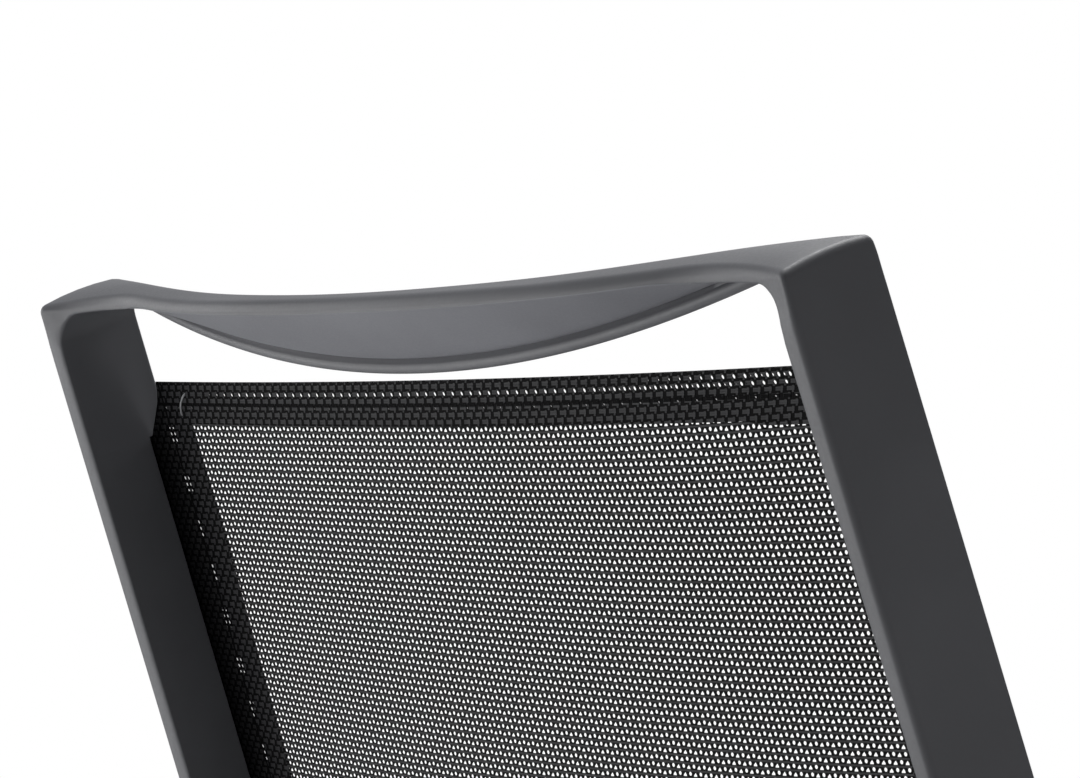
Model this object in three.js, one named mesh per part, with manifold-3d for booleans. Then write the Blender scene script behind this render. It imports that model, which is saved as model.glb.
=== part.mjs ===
// Sling patio chair: an aluminium frame of deep, flat tubes with a woven sling stretched in its side grooves.
// Millimetres and degrees, +Z up, the sitter faces -Y, origin on the floor under the middle of the chair.

import * as THREE from 'three';
import { mergeVertices } from 'three/addons/utils/BufferGeometryUtils.js';
import Module from 'manifold-3d';

const wasm = await Module();
wasm.setup();

// Gap between two pieces that touch.
const fitGap = 0.3;
// How far a cutting tool reaches past the piece that it cuts.
const cutOverrun = 3;

// Side rails: one bent tube a side, from the top of the back to the front of the seat.
const topWidth = 520;
const seatHeight = 440;
const backLean = 19.4;
const railSplay = 2;
const seatRise = 6;
const railDepth = 39.5;
const railThickness = 10;
const railWall = 2;
const railEdgeRadius = 1.8;
const backRunLength = 466;
const seatBendRadius = 115;
const seatRunLength = 300;
const kneeBendRadius = 35;
const kneeTurn = 58;
const railTipLength = 14;

// Groove on the inner face of each rail, which holds the edge of the sling.
const grooveFromRear = 30.4;
const grooveLip = 1.6;
const grooveSlot = 2.6;
const grooveHeight = 5.8;
const grooveDepth = 5.6;
const chamberDepth = 23;

// Crest: the cast top of the back, with the two corners in one piece.
const cornerLength = 38;
const cornerEdgeRadius = 2.4;
const spigotLength = 24;
const cornerDome = 1;
const crestLip = 3.8;
const crestThickness = 6;
const crestDome = 0.9;
const crestEndDome = 1.4;
const crestRearRadius = 4.2;
const crestRearEndRadius = 2.4;
const crestFrontRadius = 4;
const crestFrontEndRadius = 5.5;
const crestCornerRadius = 12;
const crestRearBow = 10.1;
const crestRearSweep = 36;
const crestRearBend = 2.4;
const crestShoulder = 12.5;
const crestShoulderReach = 55;
const crestRearBlend = 3;
const crestFrontMiddle = 1.2;
const crestFrontBend = 1.9;
const bladeDrop = 35.4;
const bladeRise = 34.6;
const bladeForward = 12;
const bladeSweep = 19.2;
const bladeThickness = 4.2;
const rimHeight = 4.2;
const rimRound = 1.2;
const rimLeast = 0.5;

// Panel let into the rear of the crest.
const panelThickness = 1.6;
const panelTopInset = 0.5;

// Sling.
const slingTop = 41.5;
const slingThickness = 1.2;
const slingEndInset = 2;
const slingTautRun = 70;
const slingSagBack = 8;
const slingSagBend = 6;
const slingSagSeat = 18;
const slingSagKnee = 5;
const rodDiameter = 4.2;

// Side hoops: front leg, arm and rear leg in one bent tube a side.
const hoopDepth = 36;
const hoopThickness = 14;
const hoopWall = 2;
const hoopEdgeRadius = 3;
const hoopGap = 4;
const armHeight = 635;
const frontLegLean = 3;
const rearLegLean = 5;
const hoopFrontRadius = 62;
const hoopRearRadius = 70;
const armPastBolt = 12;
const frontBoltInset = 24;

// Glides under the legs.
const glideHeight = 8;
const glideProud = 1;
const glideEdge = 1.5;
const glidePlugLength = 14;
const glidePlugSlack = 1.5;

// Arm pads.
const padLength = 300;
const padWidth = 46;
const padThickness = 13;
const padSkirt = 8;
const padCrown = 2.5;
const padEdge = 4;
const padFrontOffset = 4;
const padScrewInset = 55;

// Spreaders: round tubes that hold the rails apart under and behind the sling.
const spreaderDiameter = 19;
const spreaderWall = 2;
const spreaderBow = 38;
const spreaderPlugLength = 22;
const spreaderVent = 5;
const backSpreaderAbove = 70;
const rearSpreaderAhead = 26;
const frontSpreaderBehind = 70;

// Fasteners.
const boltDiameter = 8;
const boltHole = 8.6;
const boltHeadDiameter = 17;
const boltHeadHeight = 4.6;
const nutDiameter = 14;
const nutHeight = 8;
const nutGrip = 5;
const spacerDiameter = 20;
const lowHeadDiameter = 15;
const lowHeadHeight = 2.8;
const spreaderBoltReach = 14;
const screwDiameter = 4.8;
const screwHole = 5.4;
const screwHeadDiameter = 9;
const screwHeadHeight = 2.6;
const screwBite = 7;

// Caps on the front ends of the rails.
const capLength = 4;
const capPlugLength = 12;

// Shares of a whole.
const crestMiddleShare = 0.8;
const crestLipShares = [0.7, 0.82];
const panelSpanShare = 0.82;
const crestEndShares = [0.84, 0.88, 0.91, 0.94, 0.965, 0.98, 0.99, 0.997, 1];
const padEndShares = [0.84, 0.93, 1];
const headRimShare = 0.92;
const headFlatShare = 0.55;

// Facets.
const roundSides = 12;
const rodSides = 6;
const cornerFacets = 3;
const bendSteps = 9;
const kneeSteps = 6;
const hoopSteps = 7;
const crestSteps = 10;
const panelSteps = 16;
const slingColumns = 10;
const slingBackSteps = 8;
const slingSeatSteps = 5;
const padSteps = 6;
const spreaderSteps = 14;

const coated = new THREE.MeshStandardMaterial({ color: '#4b4d52', roughness: 0.55, metalness: 0.25 });
const coatedPanel = new THREE.MeshStandardMaterial({ color: '#54565b', roughness: 0.5, metalness: 0.2 });
const slingCloth = new THREE.MeshStandardMaterial({ color: '#1b1c1e', roughness: 0.75, metalness: 0 });
const slingRod = new THREE.MeshStandardMaterial({ color: '#26272a', roughness: 0.6, metalness: 0 });
const blackNylon = new THREE.MeshStandardMaterial({ color: '#202124', roughness: 0.65, metalness: 0 });
const greyNylon = new THREE.MeshStandardMaterial({ color: '#3c3e42', roughness: 0.6, metalness: 0 });
const steel = new THREE.MeshStandardMaterial({ color: '#3d3f43', roughness: 0.4, metalness: 0.8 });

const radians = THREE.MathUtils.degToRad;
const mix = THREE.MathUtils.lerp;
const sides = [
  { name: 'left', sign: 1 },
  { name: 'right', sign: -1 },
];
const chair = new THREE.Group();

// Numbers from first to last in equal steps, both ends included.
function steps(first, last, count) {
  return Array.from({ length: count + 1 }, (_, i) => first + ((last - first) * i) / count);
}

// A line through straight runs and bends in the side view. Heading 0 points forwards and 90 up.
// The normal lies on the side that a positive turn bends towards.
function bentPath(startY, startZ, heading, pieces) {
  const legs = [];
  let y = startY;
  let z = startZ;
  let angle = radians(heading);
  let along = 0;
  for (const piece of pieces) {
    const turn = radians(piece.turn ?? 0);
    const length = piece.run ?? piece.radius * Math.abs(turn);
    const leg = { y, z, angle, along, length, turn, radius: piece.radius ?? 0 };
    legs.push(leg);
    const end = pointOnLeg(leg, length);
    y = end.y;
    z = end.z;
    angle += turn;
    along += length;
  }
  const marks = [0, ...legs.map((leg) => leg.along + leg.length)];
  const at = (distance) => {
    const leg = legs.findLast((l) => distance >= l.along) ?? legs[0];
    return pointOnLeg(leg, distance - leg.along);
  };
  return { at, marks };
}

function pointOnLeg(leg, distance) {
  const angle = leg.angle + (leg.length > 0 ? (leg.turn * distance) / leg.length : 0);
  const normal = { y: Math.sin(angle), z: Math.cos(angle) };
  const forward = { y: -Math.cos(angle), z: Math.sin(angle) };
  if (leg.turn === 0) {
    return { y: leg.y + forward.y * distance, z: leg.z + forward.z * distance, normal, forward };
  }
  const reach = Math.sign(leg.turn) * leg.radius;
  const y = leg.y + reach * (Math.sin(leg.angle) - normal.y);
  const z = leg.z + reach * (Math.cos(leg.angle) - normal.z);
  return { y, z, normal, forward };
}

// A closed skin over rings of points, all alike in count, with a flat cap on each end.
// Each ring is an outer loop, and may have an inner loop that makes a bore right through.
function skin(rings, outline, bore = []) {
  const outerCount = outline.length;
  const ringCount = outerCount + bore.length;
  const positions = rings.flatMap((ring) => ring.flatMap((p) => [p.x, p.y, p.z]));
  const index = [];
  const wall = (first, count, reversed) => {
    for (let r = 0; r + 1 < rings.length; r++) {
      for (let i = 0; i < count; i++) {
        const a = r * ringCount + first + i;
        const b = r * ringCount + first + ((i + 1) % count);
        const c = a + ringCount;
        const d = b + ringCount;
        index.push(...(reversed ? [a, c, b, b, c, d] : [a, b, c, b, d, c]));
      }
    }
  };
  wall(0, outerCount, false);
  if (bore.length > 0) wall(outerCount, bore.length, true);
  const vectors = (loop) => loop.map((p) => new THREE.Vector2(p.x, p.y));
  const last = (rings.length - 1) * ringCount;
  const holes = bore.length > 0 ? [vectors(bore)] : [];
  for (const [a, b, c] of THREE.ShapeUtils.triangulateShape(vectors(outline), holes)) {
    index.push(a, c, b, last + a, last + b, last + c);
  }
  const geometry = new THREE.BufferGeometry();
  geometry.setAttribute('position', new THREE.Float32BufferAttribute(positions, 3));
  geometry.setIndex(index);
  return facingOut(geometry);
}

// Turns a closed geometry's faces round where they point inwards.
function facingOut(geometry) {
  const position = geometry.getAttribute('position');
  const index = geometry.getIndex().array;
  const [a, b, c] = [new THREE.Vector3(), new THREE.Vector3(), new THREE.Vector3()];
  let volume = 0;
  for (let i = 0; i < index.length; i += 3) {
    a.fromBufferAttribute(position, index[i]);
    b.fromBufferAttribute(position, index[i + 1]);
    c.fromBufferAttribute(position, index[i + 2]);
    volume += a.dot(b.cross(c));
  }
  if (volume < 0) {
    for (let i = 0; i < index.length; i += 3) {
      [index[i + 1], index[i + 2]] = [index[i + 2], index[i + 1]];
    }
  }
  return geometry;
}

function solidOf(geometry) {
  const bare = geometry.clone();
  bare.deleteAttribute('normal');
  bare.deleteAttribute('uv');
  const merged = mergeVertices(bare);
  return new wasm.Manifold(
    new wasm.Mesh({
      numProp: 3,
      vertProperties: merged.getAttribute('position').array,
      triVerts: new Uint32Array(merged.getIndex().array),
    }),
  );
}

function geometryOf(solid) {
  const mesh = solid.getMesh();
  const geometry = new THREE.BufferGeometry();
  geometry.setAttribute('position', new THREE.Float32BufferAttribute(mesh.vertProperties, 3));
  geometry.setIndex(Array.from(mesh.triVerts));
  return geometry;
}

function joined(first, ...others) {
  return geometryOf(others.reduce((solid, other) => solid.add(solidOf(other)), solidOf(first)));
}

function cut(first, ...tools) {
  return geometryOf(tools.reduce((solid, tool) => solid.subtract(solidOf(tool)), solidOf(first)));
}

function place(name, geometry, material, x = 0, y = 0, z = 0) {
  const mesh = new THREE.Mesh(geometry, material);
  mesh.name = name;
  mesh.position.set(x, y, z);
  chair.add(mesh);
  return mesh;
}

// A rectangle from (x0, y0) to (x1, y1) with round corners, anticlockwise.
function roundedBox(x0, y0, x1, y1, radius) {
  const centres = [
    [x1 - radius, y0 + radius, -90],
    [x1 - radius, y1 - radius, 0],
    [x0 + radius, y1 - radius, 90],
    [x0 + radius, y0 + radius, 180],
  ];
  return centres.flatMap(([x, y, start]) =>
    steps(start, start + 90, cornerFacets).map((angle) => ({
      x: x + radius * Math.cos(radians(angle)),
      y: y + radius * Math.sin(radians(angle)),
    })),
  );
}

function box(x0, y0, x1, y1) {
  return [
    { x: x0, y: y0 },
    { x: x1, y: y0 },
    { x: x1, y: y1 },
    { x: x0, y: y1 },
  ];
}

// A round bar along X from x0 to x1.
function crossBar(diameter, x0, x1, y, z) {
  const bar = new THREE.CylinderGeometry(diameter / 2, diameter / 2, Math.abs(x1 - x0), roundSides);
  bar.rotateZ(Math.PI / 2);
  bar.translate((x0 + x1) / 2, y, z);
  return bar;
}

// A turned piece on the X axis. Its profile lists [distance along X, radius] from one end to the other.
function turned(profile, sign, x, y, z) {
  const points = profile.map(([along, radius]) => new THREE.Vector2(radius, along));
  const piece = new THREE.LatheGeometry(points, roundSides);
  piece.deleteAttribute('normal');
  piece.deleteAttribute('uv');
  const merged = mergeVertices(piece);
  merged.rotateZ((-sign * Math.PI) / 2);
  merged.translate(x, y, z);
  return facingOut(merged);
}

// Side rails

const seatTurn = 90 - backLean + seatRise;
const railRuns = [
  { run: backRunLength },
  { radius: seatBendRadius, turn: seatTurn },
  { run: seatRunLength },
  { radius: kneeBendRadius, turn: -kneeTurn },
  { run: railTipLength },
];
const trialPath = bentPath(0, 0, backLean - 90, railRuns);
const [, backEnd, bendEnd, kneeStart, kneeEnd, railEnd] = trialPath.marks;
const trialKnee = trialPath.at(kneeStart);
const backTop = seatHeight - trialKnee.z - trialKnee.normal.z * railDepth;
const railPath = bentPath(0, backTop, backLean - 90, railRuns);
const chamberCentre = railWall + chamberDepth / 2;

function railHalfWidth(distance) {
  return topWidth / 2 + Math.tan(radians(railSplay)) * Math.min(distance, backRunLength);
}

// A point of a rail, from its distance down the rail, inwards from its outer face and forwards from its rear.
function railPoint(sign, distance, inwards, forwards) {
  const spot = railPath.at(distance);
  return new THREE.Vector3(
    sign * (railHalfWidth(distance) - inwards),
    spot.y + spot.normal.y * forwards,
    spot.z + spot.normal.z * forwards,
  );
}

function railSection() {
  const section = roundedBox(0, 0, railThickness, railDepth, railEdgeRadius);
  const slotFrom = grooveFromRear - grooveSlot / 2;
  const slotTo = grooveFromRear + grooveSlot / 2;
  const floorFrom = grooveFromRear - grooveHeight / 2;
  const floorTo = grooveFromRear + grooveHeight / 2;
  const mouth = railThickness - grooveLip;
  const floor = mouth - grooveDepth;
  const groove = [
    { x: railThickness, y: slotFrom },
    { x: mouth, y: slotFrom },
    { x: mouth, y: floorFrom },
    { x: floor, y: floorFrom },
    { x: floor, y: floorTo },
    { x: mouth, y: floorTo },
    { x: mouth, y: slotTo },
    { x: railThickness, y: slotTo },
  ];
  section.splice(cornerFacets + 1, 0, ...groove);
  return section;
}

const chamberSection = box(railWall, railWall, railThickness - railWall, railWall + chamberDepth);

function sweepRail(sign, distances, section, bore) {
  const loop = [...section, ...(bore ?? [])];
  const rings = distances.map((distance) =>
    loop.map((p) => railPoint(sign, distance, p.x, p.y)),
  );
  return skin(rings, section, bore);
}

const railStart = cornerLength + fitGap;
const railDistances = [
  railStart,
  ...steps(backEnd, bendEnd, bendSteps),
  ...steps(kneeStart, kneeEnd, kneeSteps),
  railEnd,
];

// Places along the rails where bolts go through them.
const backSpreaderAt = backEnd - backSpreaderAbove;
const rearSpreaderAt = bendEnd + rearSpreaderAhead;
const frontSpreaderAt = kneeStart - frontSpreaderBehind;
const frontBoltAt = kneeStart - frontBoltInset;
const frontBolt = railPoint(1, frontBoltAt, 0, chamberCentre);
const armCentre = armHeight - hoopDepth / 2;
const leanSine = Math.sin(radians(backLean));
const leanCosine = Math.cos(radians(backLean));
const armBoltAt = (backTop + chamberCentre * leanSine - armCentre) / leanCosine;
const armBolt = railPoint(1, armBoltAt, 0, chamberCentre);
const spreaders = [
  { name: 'back', at: backSpreaderAt },
  { name: 'rear', at: rearSpreaderAt },
  { name: 'front', at: frontSpreaderAt },
];

for (const { name, sign } of sides) {
  const rail = sweepRail(sign, railDistances, railSection(), chamberSection);
  const holes = [armBoltAt, frontBoltAt, ...spreaders.map((s) => s.at)].map((distance) => {
    const spot = railPoint(sign, distance, 0, chamberCentre);
    const inner = spot.x - sign * (railThickness + cutOverrun);
    return crossBar(boltHole, spot.x + sign * cutOverrun, inner, spot.y, spot.z);
  });
  place('side_rail_' + name, cut(rail, ...holes), coated);
}

// Crest

const crestHalf = topWidth / 2 - railThickness;

// The lower of two values, with the change from one to the other rounded off.
function blendedLower(a, b, blend) {
  const share = Math.max(blend - Math.abs(a - b), 0) / blend;
  return Math.min(a, b) - (share * share * blend) / 4;
}

// Rear edge of the crest, forwards of the rear of the rails. It sweeps forwards beside them and bows back between.
function crestRear(share) {
  const bow = -crestRearBow + crestRearSweep * share ** crestRearBend;
  const past = Math.max(share * crestHalf - topWidth / 2 + crestShoulderReach, 0) / crestShoulderReach;
  return blendedLower(bow, crestShoulder * (1 - past ** 2), crestRearBlend);
}

function crestFront(share) {
  return crestFrontMiddle + (railDepth - crestFrontMiddle) * share ** crestFrontBend;
}

// Underside of the crest: thin over the panel, with the round corner that runs down into the rail.
function crestUnder(share) {
  const thickness = mix(crestLip, crestThickness, THREE.MathUtils.smoothstep(share, ...crestLipShares));
  const intoCorner = Math.max(share * crestHalf - crestHalf + crestCornerRadius, 0);
  const arc = Math.sqrt(Math.max(crestCornerRadius ** 2 - intoCorner ** 2, 0));
  return thickness + crestCornerRadius - arc;
}

// Lowest line of the blade that hangs from the crest.
function bladeEdge(share) {
  const down = bladeDrop - bladeRise * share ** 2;
  const forwards = bladeForward + bladeSweep * share ** 2;
  const lowest = Math.max(down, crestUnder(share));
  const deepest = crestFront(share) - bladeThickness;
  const ended = down < crestUnder(share);
  return { down: lowest, forwards: ended ? Math.max(forwards, deepest) : forwards };
}

// Height of the bead along the bottom of the blade, which dies away where the blade ends.
function rimAt(share) {
  const room = bladeEdge(share).down - crestUnder(share);
  return Math.max(Math.min(rimHeight, room), 2 * rimLeast);
}

// Section of the crest as points [forwards, down], from the rear top edge over the front and under the blade.
function crestSection(share) {
  const rear = crestRear(share);
  const front = crestFront(share);
  const edge = bladeEdge(share);
  const frontFoot = edge.forwards + bladeThickness;
  const top = -mix(crestDome, crestEndDome, share);
  const rearRound = mix(crestRearRadius, crestRearEndRadius, share);
  const frontRound = mix(crestFrontRadius, crestFrontEndRadius, share);
  const corner = 1 - Math.SQRT1_2;
  return [
    [rear, top + rearRound],
    [rear + rearRound * corner, top + rearRound * corner],
    [rear + rearRound, top],
    [front - frontRound, top],
    [front - frontRound * corner, top + frontRound * corner],
    [front, top + frontRound],
    [(front + frontFoot) / 2, (top + frontRound + edge.down) / 2],
    [frontFoot, edge.down - rimRound],
    [frontFoot - rimRound, edge.down],
    [edge.forwards + rimLeast, edge.down],
    [edge.forwards, edge.down - rimLeast],
    [edge.forwards, edge.down - rimAt(share)],
    [rear, crestUnder(share)],
  ];
}

const crestShares = [...steps(0, crestMiddleShare, crestSteps), ...crestEndShares];
const crestEmbed = railThickness / 2;
const crestPlaces = crestShares.map((share) => ({ share, across: share * crestHalf }));
crestPlaces.push({ share: 1, across: crestHalf + crestEmbed });
const crestRow = [...crestPlaces.slice(1).reverse().map((p) => ({ ...p, across: -p.across })), ...crestPlaces];

// A point of the back, across it, forwards from its rear and down from its top.
function backPoint(across, forwards, down) {
  return new THREE.Vector3(
    across,
    -down * leanSine - forwards * leanCosine,
    backTop - down * leanCosine + forwards * leanSine,
  );
}

function crestBand() {
  const rings = crestRow.map(({ share, across }) =>
    crestSection(share).map(([forwards, down]) => backPoint(across, forwards, down)),
  );
  const outline = crestSection(1).map(([forwards, down]) => ({ x: forwards, y: down }));
  return skin(rings, outline);
}

// Corner of the crest: a length of rail with a rounded top, on a spigot that fits in the rail.
function crestCorner(sign) {
  const levels = steps(0, 90, cornerFacets).map((angle) => ({
    down: cornerEdgeRadius * (1 - Math.sin(radians(angle))) - cornerDome,
    inset: cornerEdgeRadius * (1 - Math.cos(radians(angle))),
  }));
  levels.reverse();
  levels.push({ down: cornerLength, inset: 0 });
  const rings = levels.map(({ down, inset }) =>
    roundedBox(inset, inset, railThickness - inset, railDepth - inset, cornerEdgeRadius).map((p) =>
      railPoint(sign, down, p.x, p.y),
    ),
  );
  return skin(rings, roundedBox(0, 0, railThickness, railDepth, cornerEdgeRadius));
}

function crestSpigot(sign) {
  const inset = railWall + fitGap;
  const section = box(inset, inset, railThickness - inset, railWall + chamberDepth - fitGap);
  return sweepRail(sign, [cornerLength - cutOverrun, cornerLength + spigotLength], section);
}

// Section of the panel as points [forwards, down]. A clearance makes the pocket that the panel sits in.
function panelSection(share, clearance) {
  const rear = crestRear(share);
  const under = crestUnder(share);
  const edge = bladeEdge(share);
  const top = new THREE.Vector2(rear, under + panelTopInset);
  const foot = new THREE.Vector2(edge.forwards, edge.down - rimAt(share));
  const slope = foot.clone().sub(top).normalize();
  const inwards = new THREE.Vector2(slope.y, -slope.x);
  const shallow = inwards.clone().multiplyScalar(clearance > 0 ? -cutOverrun : 0);
  const deep = inwards.clone().multiplyScalar(panelThickness + clearance);
  const upper = top.clone().addScaledVector(slope, -clearance);
  const lower = foot.clone().addScaledVector(slope, clearance);
  return [
    upper.clone().add(deep),
    lower.clone().add(deep),
    lower.clone().add(shallow),
    upper.clone().add(shallow),
  ];
}

function panelBody(clearance) {
  const reach = panelSpanShare + clearance / crestHalf;
  const shares = steps(-reach, reach, panelSteps);
  const rings = shares.map((share) =>
    panelSection(Math.abs(share), clearance).map((p) => backPoint(share * crestHalf, p.x, p.y)),
  );
  return skin(rings, panelSection(reach, clearance));
}

const crestSolid = joined(
  crestBand(),
  ...sides.flatMap(({ sign }) => [crestCorner(sign), crestSpigot(sign)]),
);
place('crest_bar', cut(crestSolid, panelBody(fitGap)), coated);
place('crest_rear_panel', panelBody(0), coatedPanel);

// Sling and the rods in its edges

const grooveFloor = railThickness - grooveLip - grooveDepth;
const rodInwards = grooveFloor + fitGap + rodDiameter / 2;
const slingEdge = rodInwards + rodDiameter / 2 + fitGap;
const slingEnd = railEnd - slingEndInset;

// Depth of the hollow that the sling hangs in between the rails.
function slingSag(distance) {
  const places = [
    [slingTop + slingTautRun, 0],
    [(slingTop + backEnd) / 2, slingSagBack],
    [(backEnd + bendEnd) / 2, slingSagBend],
    [(bendEnd + kneeStart) / 2, slingSagSeat],
    [kneeStart, slingSagKnee],
    [railEnd, 0],
  ];
  const next = Math.max(places.findIndex(([at]) => at > distance), 1);
  const [from, shallow] = places[next - 1];
  const [to, deep] = places[next];
  const share = THREE.MathUtils.smoothstep(distance, from, to);
  return shallow + (deep - shallow) * share;
}

function slingRing(distance) {
  const half = railHalfWidth(distance) - slingEdge;
  const shares = steps(-1, 1, slingColumns);
  const sag = slingSag(distance);
  const row = (side) =>
    shares.map((share) => {
      const forwards = grooveFromRear - sag * (1 - share ** 2) + (side * slingThickness) / 2;
      const point = railPoint(1, distance, 0, forwards);
      return point.setX(share * half);
    });
  return [...row(-1), ...row(1).reverse()];
}

const slingDistances = [
  ...steps(slingTop, backEnd, slingBackSteps),
  ...steps(backEnd, bendEnd, bendSteps).slice(1),
  ...steps(bendEnd, kneeStart, slingSeatSteps).slice(1),
  ...steps(kneeStart, kneeEnd, kneeSteps).slice(1),
  slingEnd,
];
const slingOutline = [
  ...steps(-1, 1, slingColumns).map((x) => ({ x, y: 0 })),
  ...steps(1, -1, slingColumns).map((x) => ({ x, y: slingThickness })),
];
place('sling', skin(slingDistances.map(slingRing), slingOutline), slingCloth);

for (const { name, sign } of sides) {
  const section = steps(0, 360, rodSides).slice(1).map((angle) => ({
    x: rodInwards + (rodDiameter / 2) * Math.cos(radians(angle)),
    y: grooveFromRear + (rodDiameter / 2) * Math.sin(radians(angle)),
  }));
  const distances = [
    slingTop,
    ...steps(backEnd, bendEnd, bendSteps),
    ...steps(kneeStart, kneeEnd, kneeSteps),
    slingEnd,
  ];
  place('sling_rod_' + name, sweepRail(sign, distances, section), slingRod);
}

// Side hoops

const hoopInner = railHalfWidth(backRunLength) + hoopGap;
const hoopOuter = hoopInner + hoopThickness;
const hoopMiddle = (hoopInner + hoopOuter) / 2;
const legEnd = glideHeight;
const frontTurn = 90 - frontLegLean;
const rearTurn = 90 - rearLegLean;
const frontSlope = Math.tan(radians(frontLegLean));
const rearSlope = Math.tan(radians(rearLegLean));
const frontCorner = frontBolt.y + (armCentre - frontBolt.z) * frontSlope;
const frontFoot = frontBolt.y - (frontBolt.z - legEnd) * frontSlope;
const frontTangent = hoopFrontRadius * Math.tan(radians(frontTurn / 2));
const rearTangent = hoopRearRadius * Math.tan(radians(rearTurn / 2));
const rearCorner = armBolt.y + armPastBolt + rearTangent;
const rearFoot = rearCorner + (armCentre - legEnd) * rearSlope;
const legRise = armCentre - legEnd;
const hoopRuns = [
  { run: legRise / Math.cos(radians(frontLegLean)) - frontTangent },
  { radius: hoopFrontRadius, turn: frontTurn },
  { run: rearCorner - frontCorner - frontTangent - rearTangent },
  { radius: hoopRearRadius, turn: rearTurn },
  { run: legRise / Math.cos(radians(rearLegLean)) - rearTangent },
];
const hoopPath = bentPath(frontFoot, legEnd, 90 + frontLegLean, hoopRuns);
const [, hoopFrontLegEnd, hoopArmStart, hoopArmEnd, hoopRearLegStart, hoopEnd] = hoopPath.marks;
const hoopDistances = [
  0,
  ...steps(hoopFrontLegEnd, hoopArmStart, hoopSteps),
  ...steps(hoopArmEnd, hoopRearLegStart, hoopSteps),
  hoopEnd,
];

// A point of a hoop, outwards from its inner face and inside or outside its middle line.
// The ends of the legs are cut level with the floor.
function hoopPoint(sign, distance, outwards, inside) {
  const spot = hoopPath.at(distance);
  const y = spot.y + spot.normal.y * inside;
  const z = spot.z + spot.normal.z * inside;
  const atFoot = distance === 0 || distance === hoopEnd;
  const slide = atFoot ? (legEnd - z) / spot.forward.z : 0;
  return new THREE.Vector3(
    sign * (hoopInner + outwards),
    y + spot.forward.y * slide,
    z + spot.forward.z * slide,
  );
}

const hoopHalf = hoopDepth / 2;
const hoopSection = roundedBox(0, -hoopHalf, hoopThickness, hoopHalf, hoopEdgeRadius);
const hoopBore = box(hoopWall, hoopWall - hoopHalf, hoopThickness - hoopWall, hoopHalf - hoopWall);
const padMiddle = frontCorner + frontTangent + padFrontOffset + padLength / 2;
const padScrews = [
  { name: 'front', y: padMiddle - padLength / 2 + padScrewInset },
  { name: 'rear', y: padMiddle + padLength / 2 - padScrewInset },
];
const armBottom = armHeight - hoopDepth;

function uprightBar(diameter, z0, z1, x, y) {
  const bar = new THREE.CylinderGeometry(diameter / 2, diameter / 2, z1 - z0, roundSides);
  bar.rotateX(Math.PI / 2);
  bar.translate(x, y, (z0 + z1) / 2);
  return bar;
}

for (const { name, sign } of sides) {
  const rings = hoopDistances.map((distance) =>
    [...hoopSection, ...hoopBore].map((p) => hoopPoint(sign, distance, p.x, p.y)),
  );
  const inner = sign * (hoopInner - cutOverrun);
  const outer = sign * (hoopOuter + cutOverrun);
  const holes = [frontBolt, armBolt].map((b) => crossBar(boltHole, inner, outer, b.y, b.z));
  const screwHoles = padScrews.map((screw) =>
    uprightBar(screwHole, armBottom - cutOverrun, armHeight + cutOverrun, sign * hoopMiddle, screw.y),
  );
  const hoop = cut(skin(rings, hoopSection, hoopBore), ...holes, ...screwHoles);
  place('side_hoop_' + name, hoop, coated);
}

// Glides

function glideBody(lift) {
  const halfWidth = hoopThickness / 2 + glideProud;
  const halfDepth = hoopHalf + glideProud;
  const radius = hoopEdgeRadius + glideProud;
  const levels = [
    { z: 0, inset: glideEdge },
    { z: glideEdge, inset: 0 },
    { z: glideHeight - fitGap, inset: 0 },
  ];
  const outline = (inset) =>
    roundedBox(inset - halfWidth, inset - halfDepth, halfWidth - inset, halfDepth - inset, radius);
  const pad = skin(
    levels.map(({ z, inset }) => outline(inset).map((p) => new THREE.Vector3(p.x, p.y, z))),
    outline(0),
  );
  const plugWidth = hoopThickness - 2 * (hoopWall + fitGap);
  const plugDepth = hoopDepth - 2 * (hoopWall + glidePlugSlack);
  const plugHeight = glidePlugLength + glideHeight - glideEdge;
  const plug = new THREE.BoxGeometry(plugWidth, plugDepth, plugHeight);
  plug.translate(0, lift, glideEdge + plugHeight / 2);
  return joined(pad, plug);
}

const feet = [
  { name: 'front', y: frontFoot, shift: (glidePlugLength / 2) * frontSlope },
  { name: 'rear', y: rearFoot, shift: (-glidePlugLength / 2) * rearSlope },
];
for (const { name, sign } of sides) {
  for (const foot of feet) {
    const glide = glideBody(foot.shift);
    place('glide_' + foot.name + '_' + name, glide, blackNylon, sign * hoopMiddle, foot.y, 0);
  }
}

// Arm pads

function padSection(scale) {
  const half = (padWidth / 2) * scale;
  const channel = hoopThickness / 2 + fitGap;
  const top = padThickness * scale;
  const low = -padSkirt * scale;
  const crownPoints = steps(1, -1, padSteps).map((share) => ({
    x: share * (half - padEdge),
    y: top - padCrown * share ** 2,
  }));
  return [
    { x: channel, y: low },
    { x: half - padEdge, y: low },
    { x: half, y: low + padEdge },
    { x: half, y: top - padCrown - padEdge },
    ...crownPoints,
    { x: -half, y: top - padCrown - padEdge },
    { x: -half, y: low + padEdge },
    { x: -(half - padEdge), y: low },
    { x: -channel, y: low },
    { x: -channel, y: fitGap },
    { x: channel, y: fitGap },
  ];
}

function padBody() {
  const [endScale, edgeScale, fullScale] = padEndShares;
  const ends = [
    { inset: 0, scale: endScale },
    { inset: padEdge / 2, scale: edgeScale },
    { inset: padEdge * 2, scale: fullScale },
  ];
  const half = padLength / 2;
  const stations = [
    ...ends.map((e) => ({ y: e.inset - half, scale: e.scale })),
    ...ends.map((e) => ({ y: half - e.inset, scale: e.scale })).reverse(),
  ];
  const rings = stations.map(({ y, scale }) =>
    padSection(scale).map((p) => new THREE.Vector3(p.x, y, p.y)),
  );
  return skin(rings, padSection(1));
}

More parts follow.
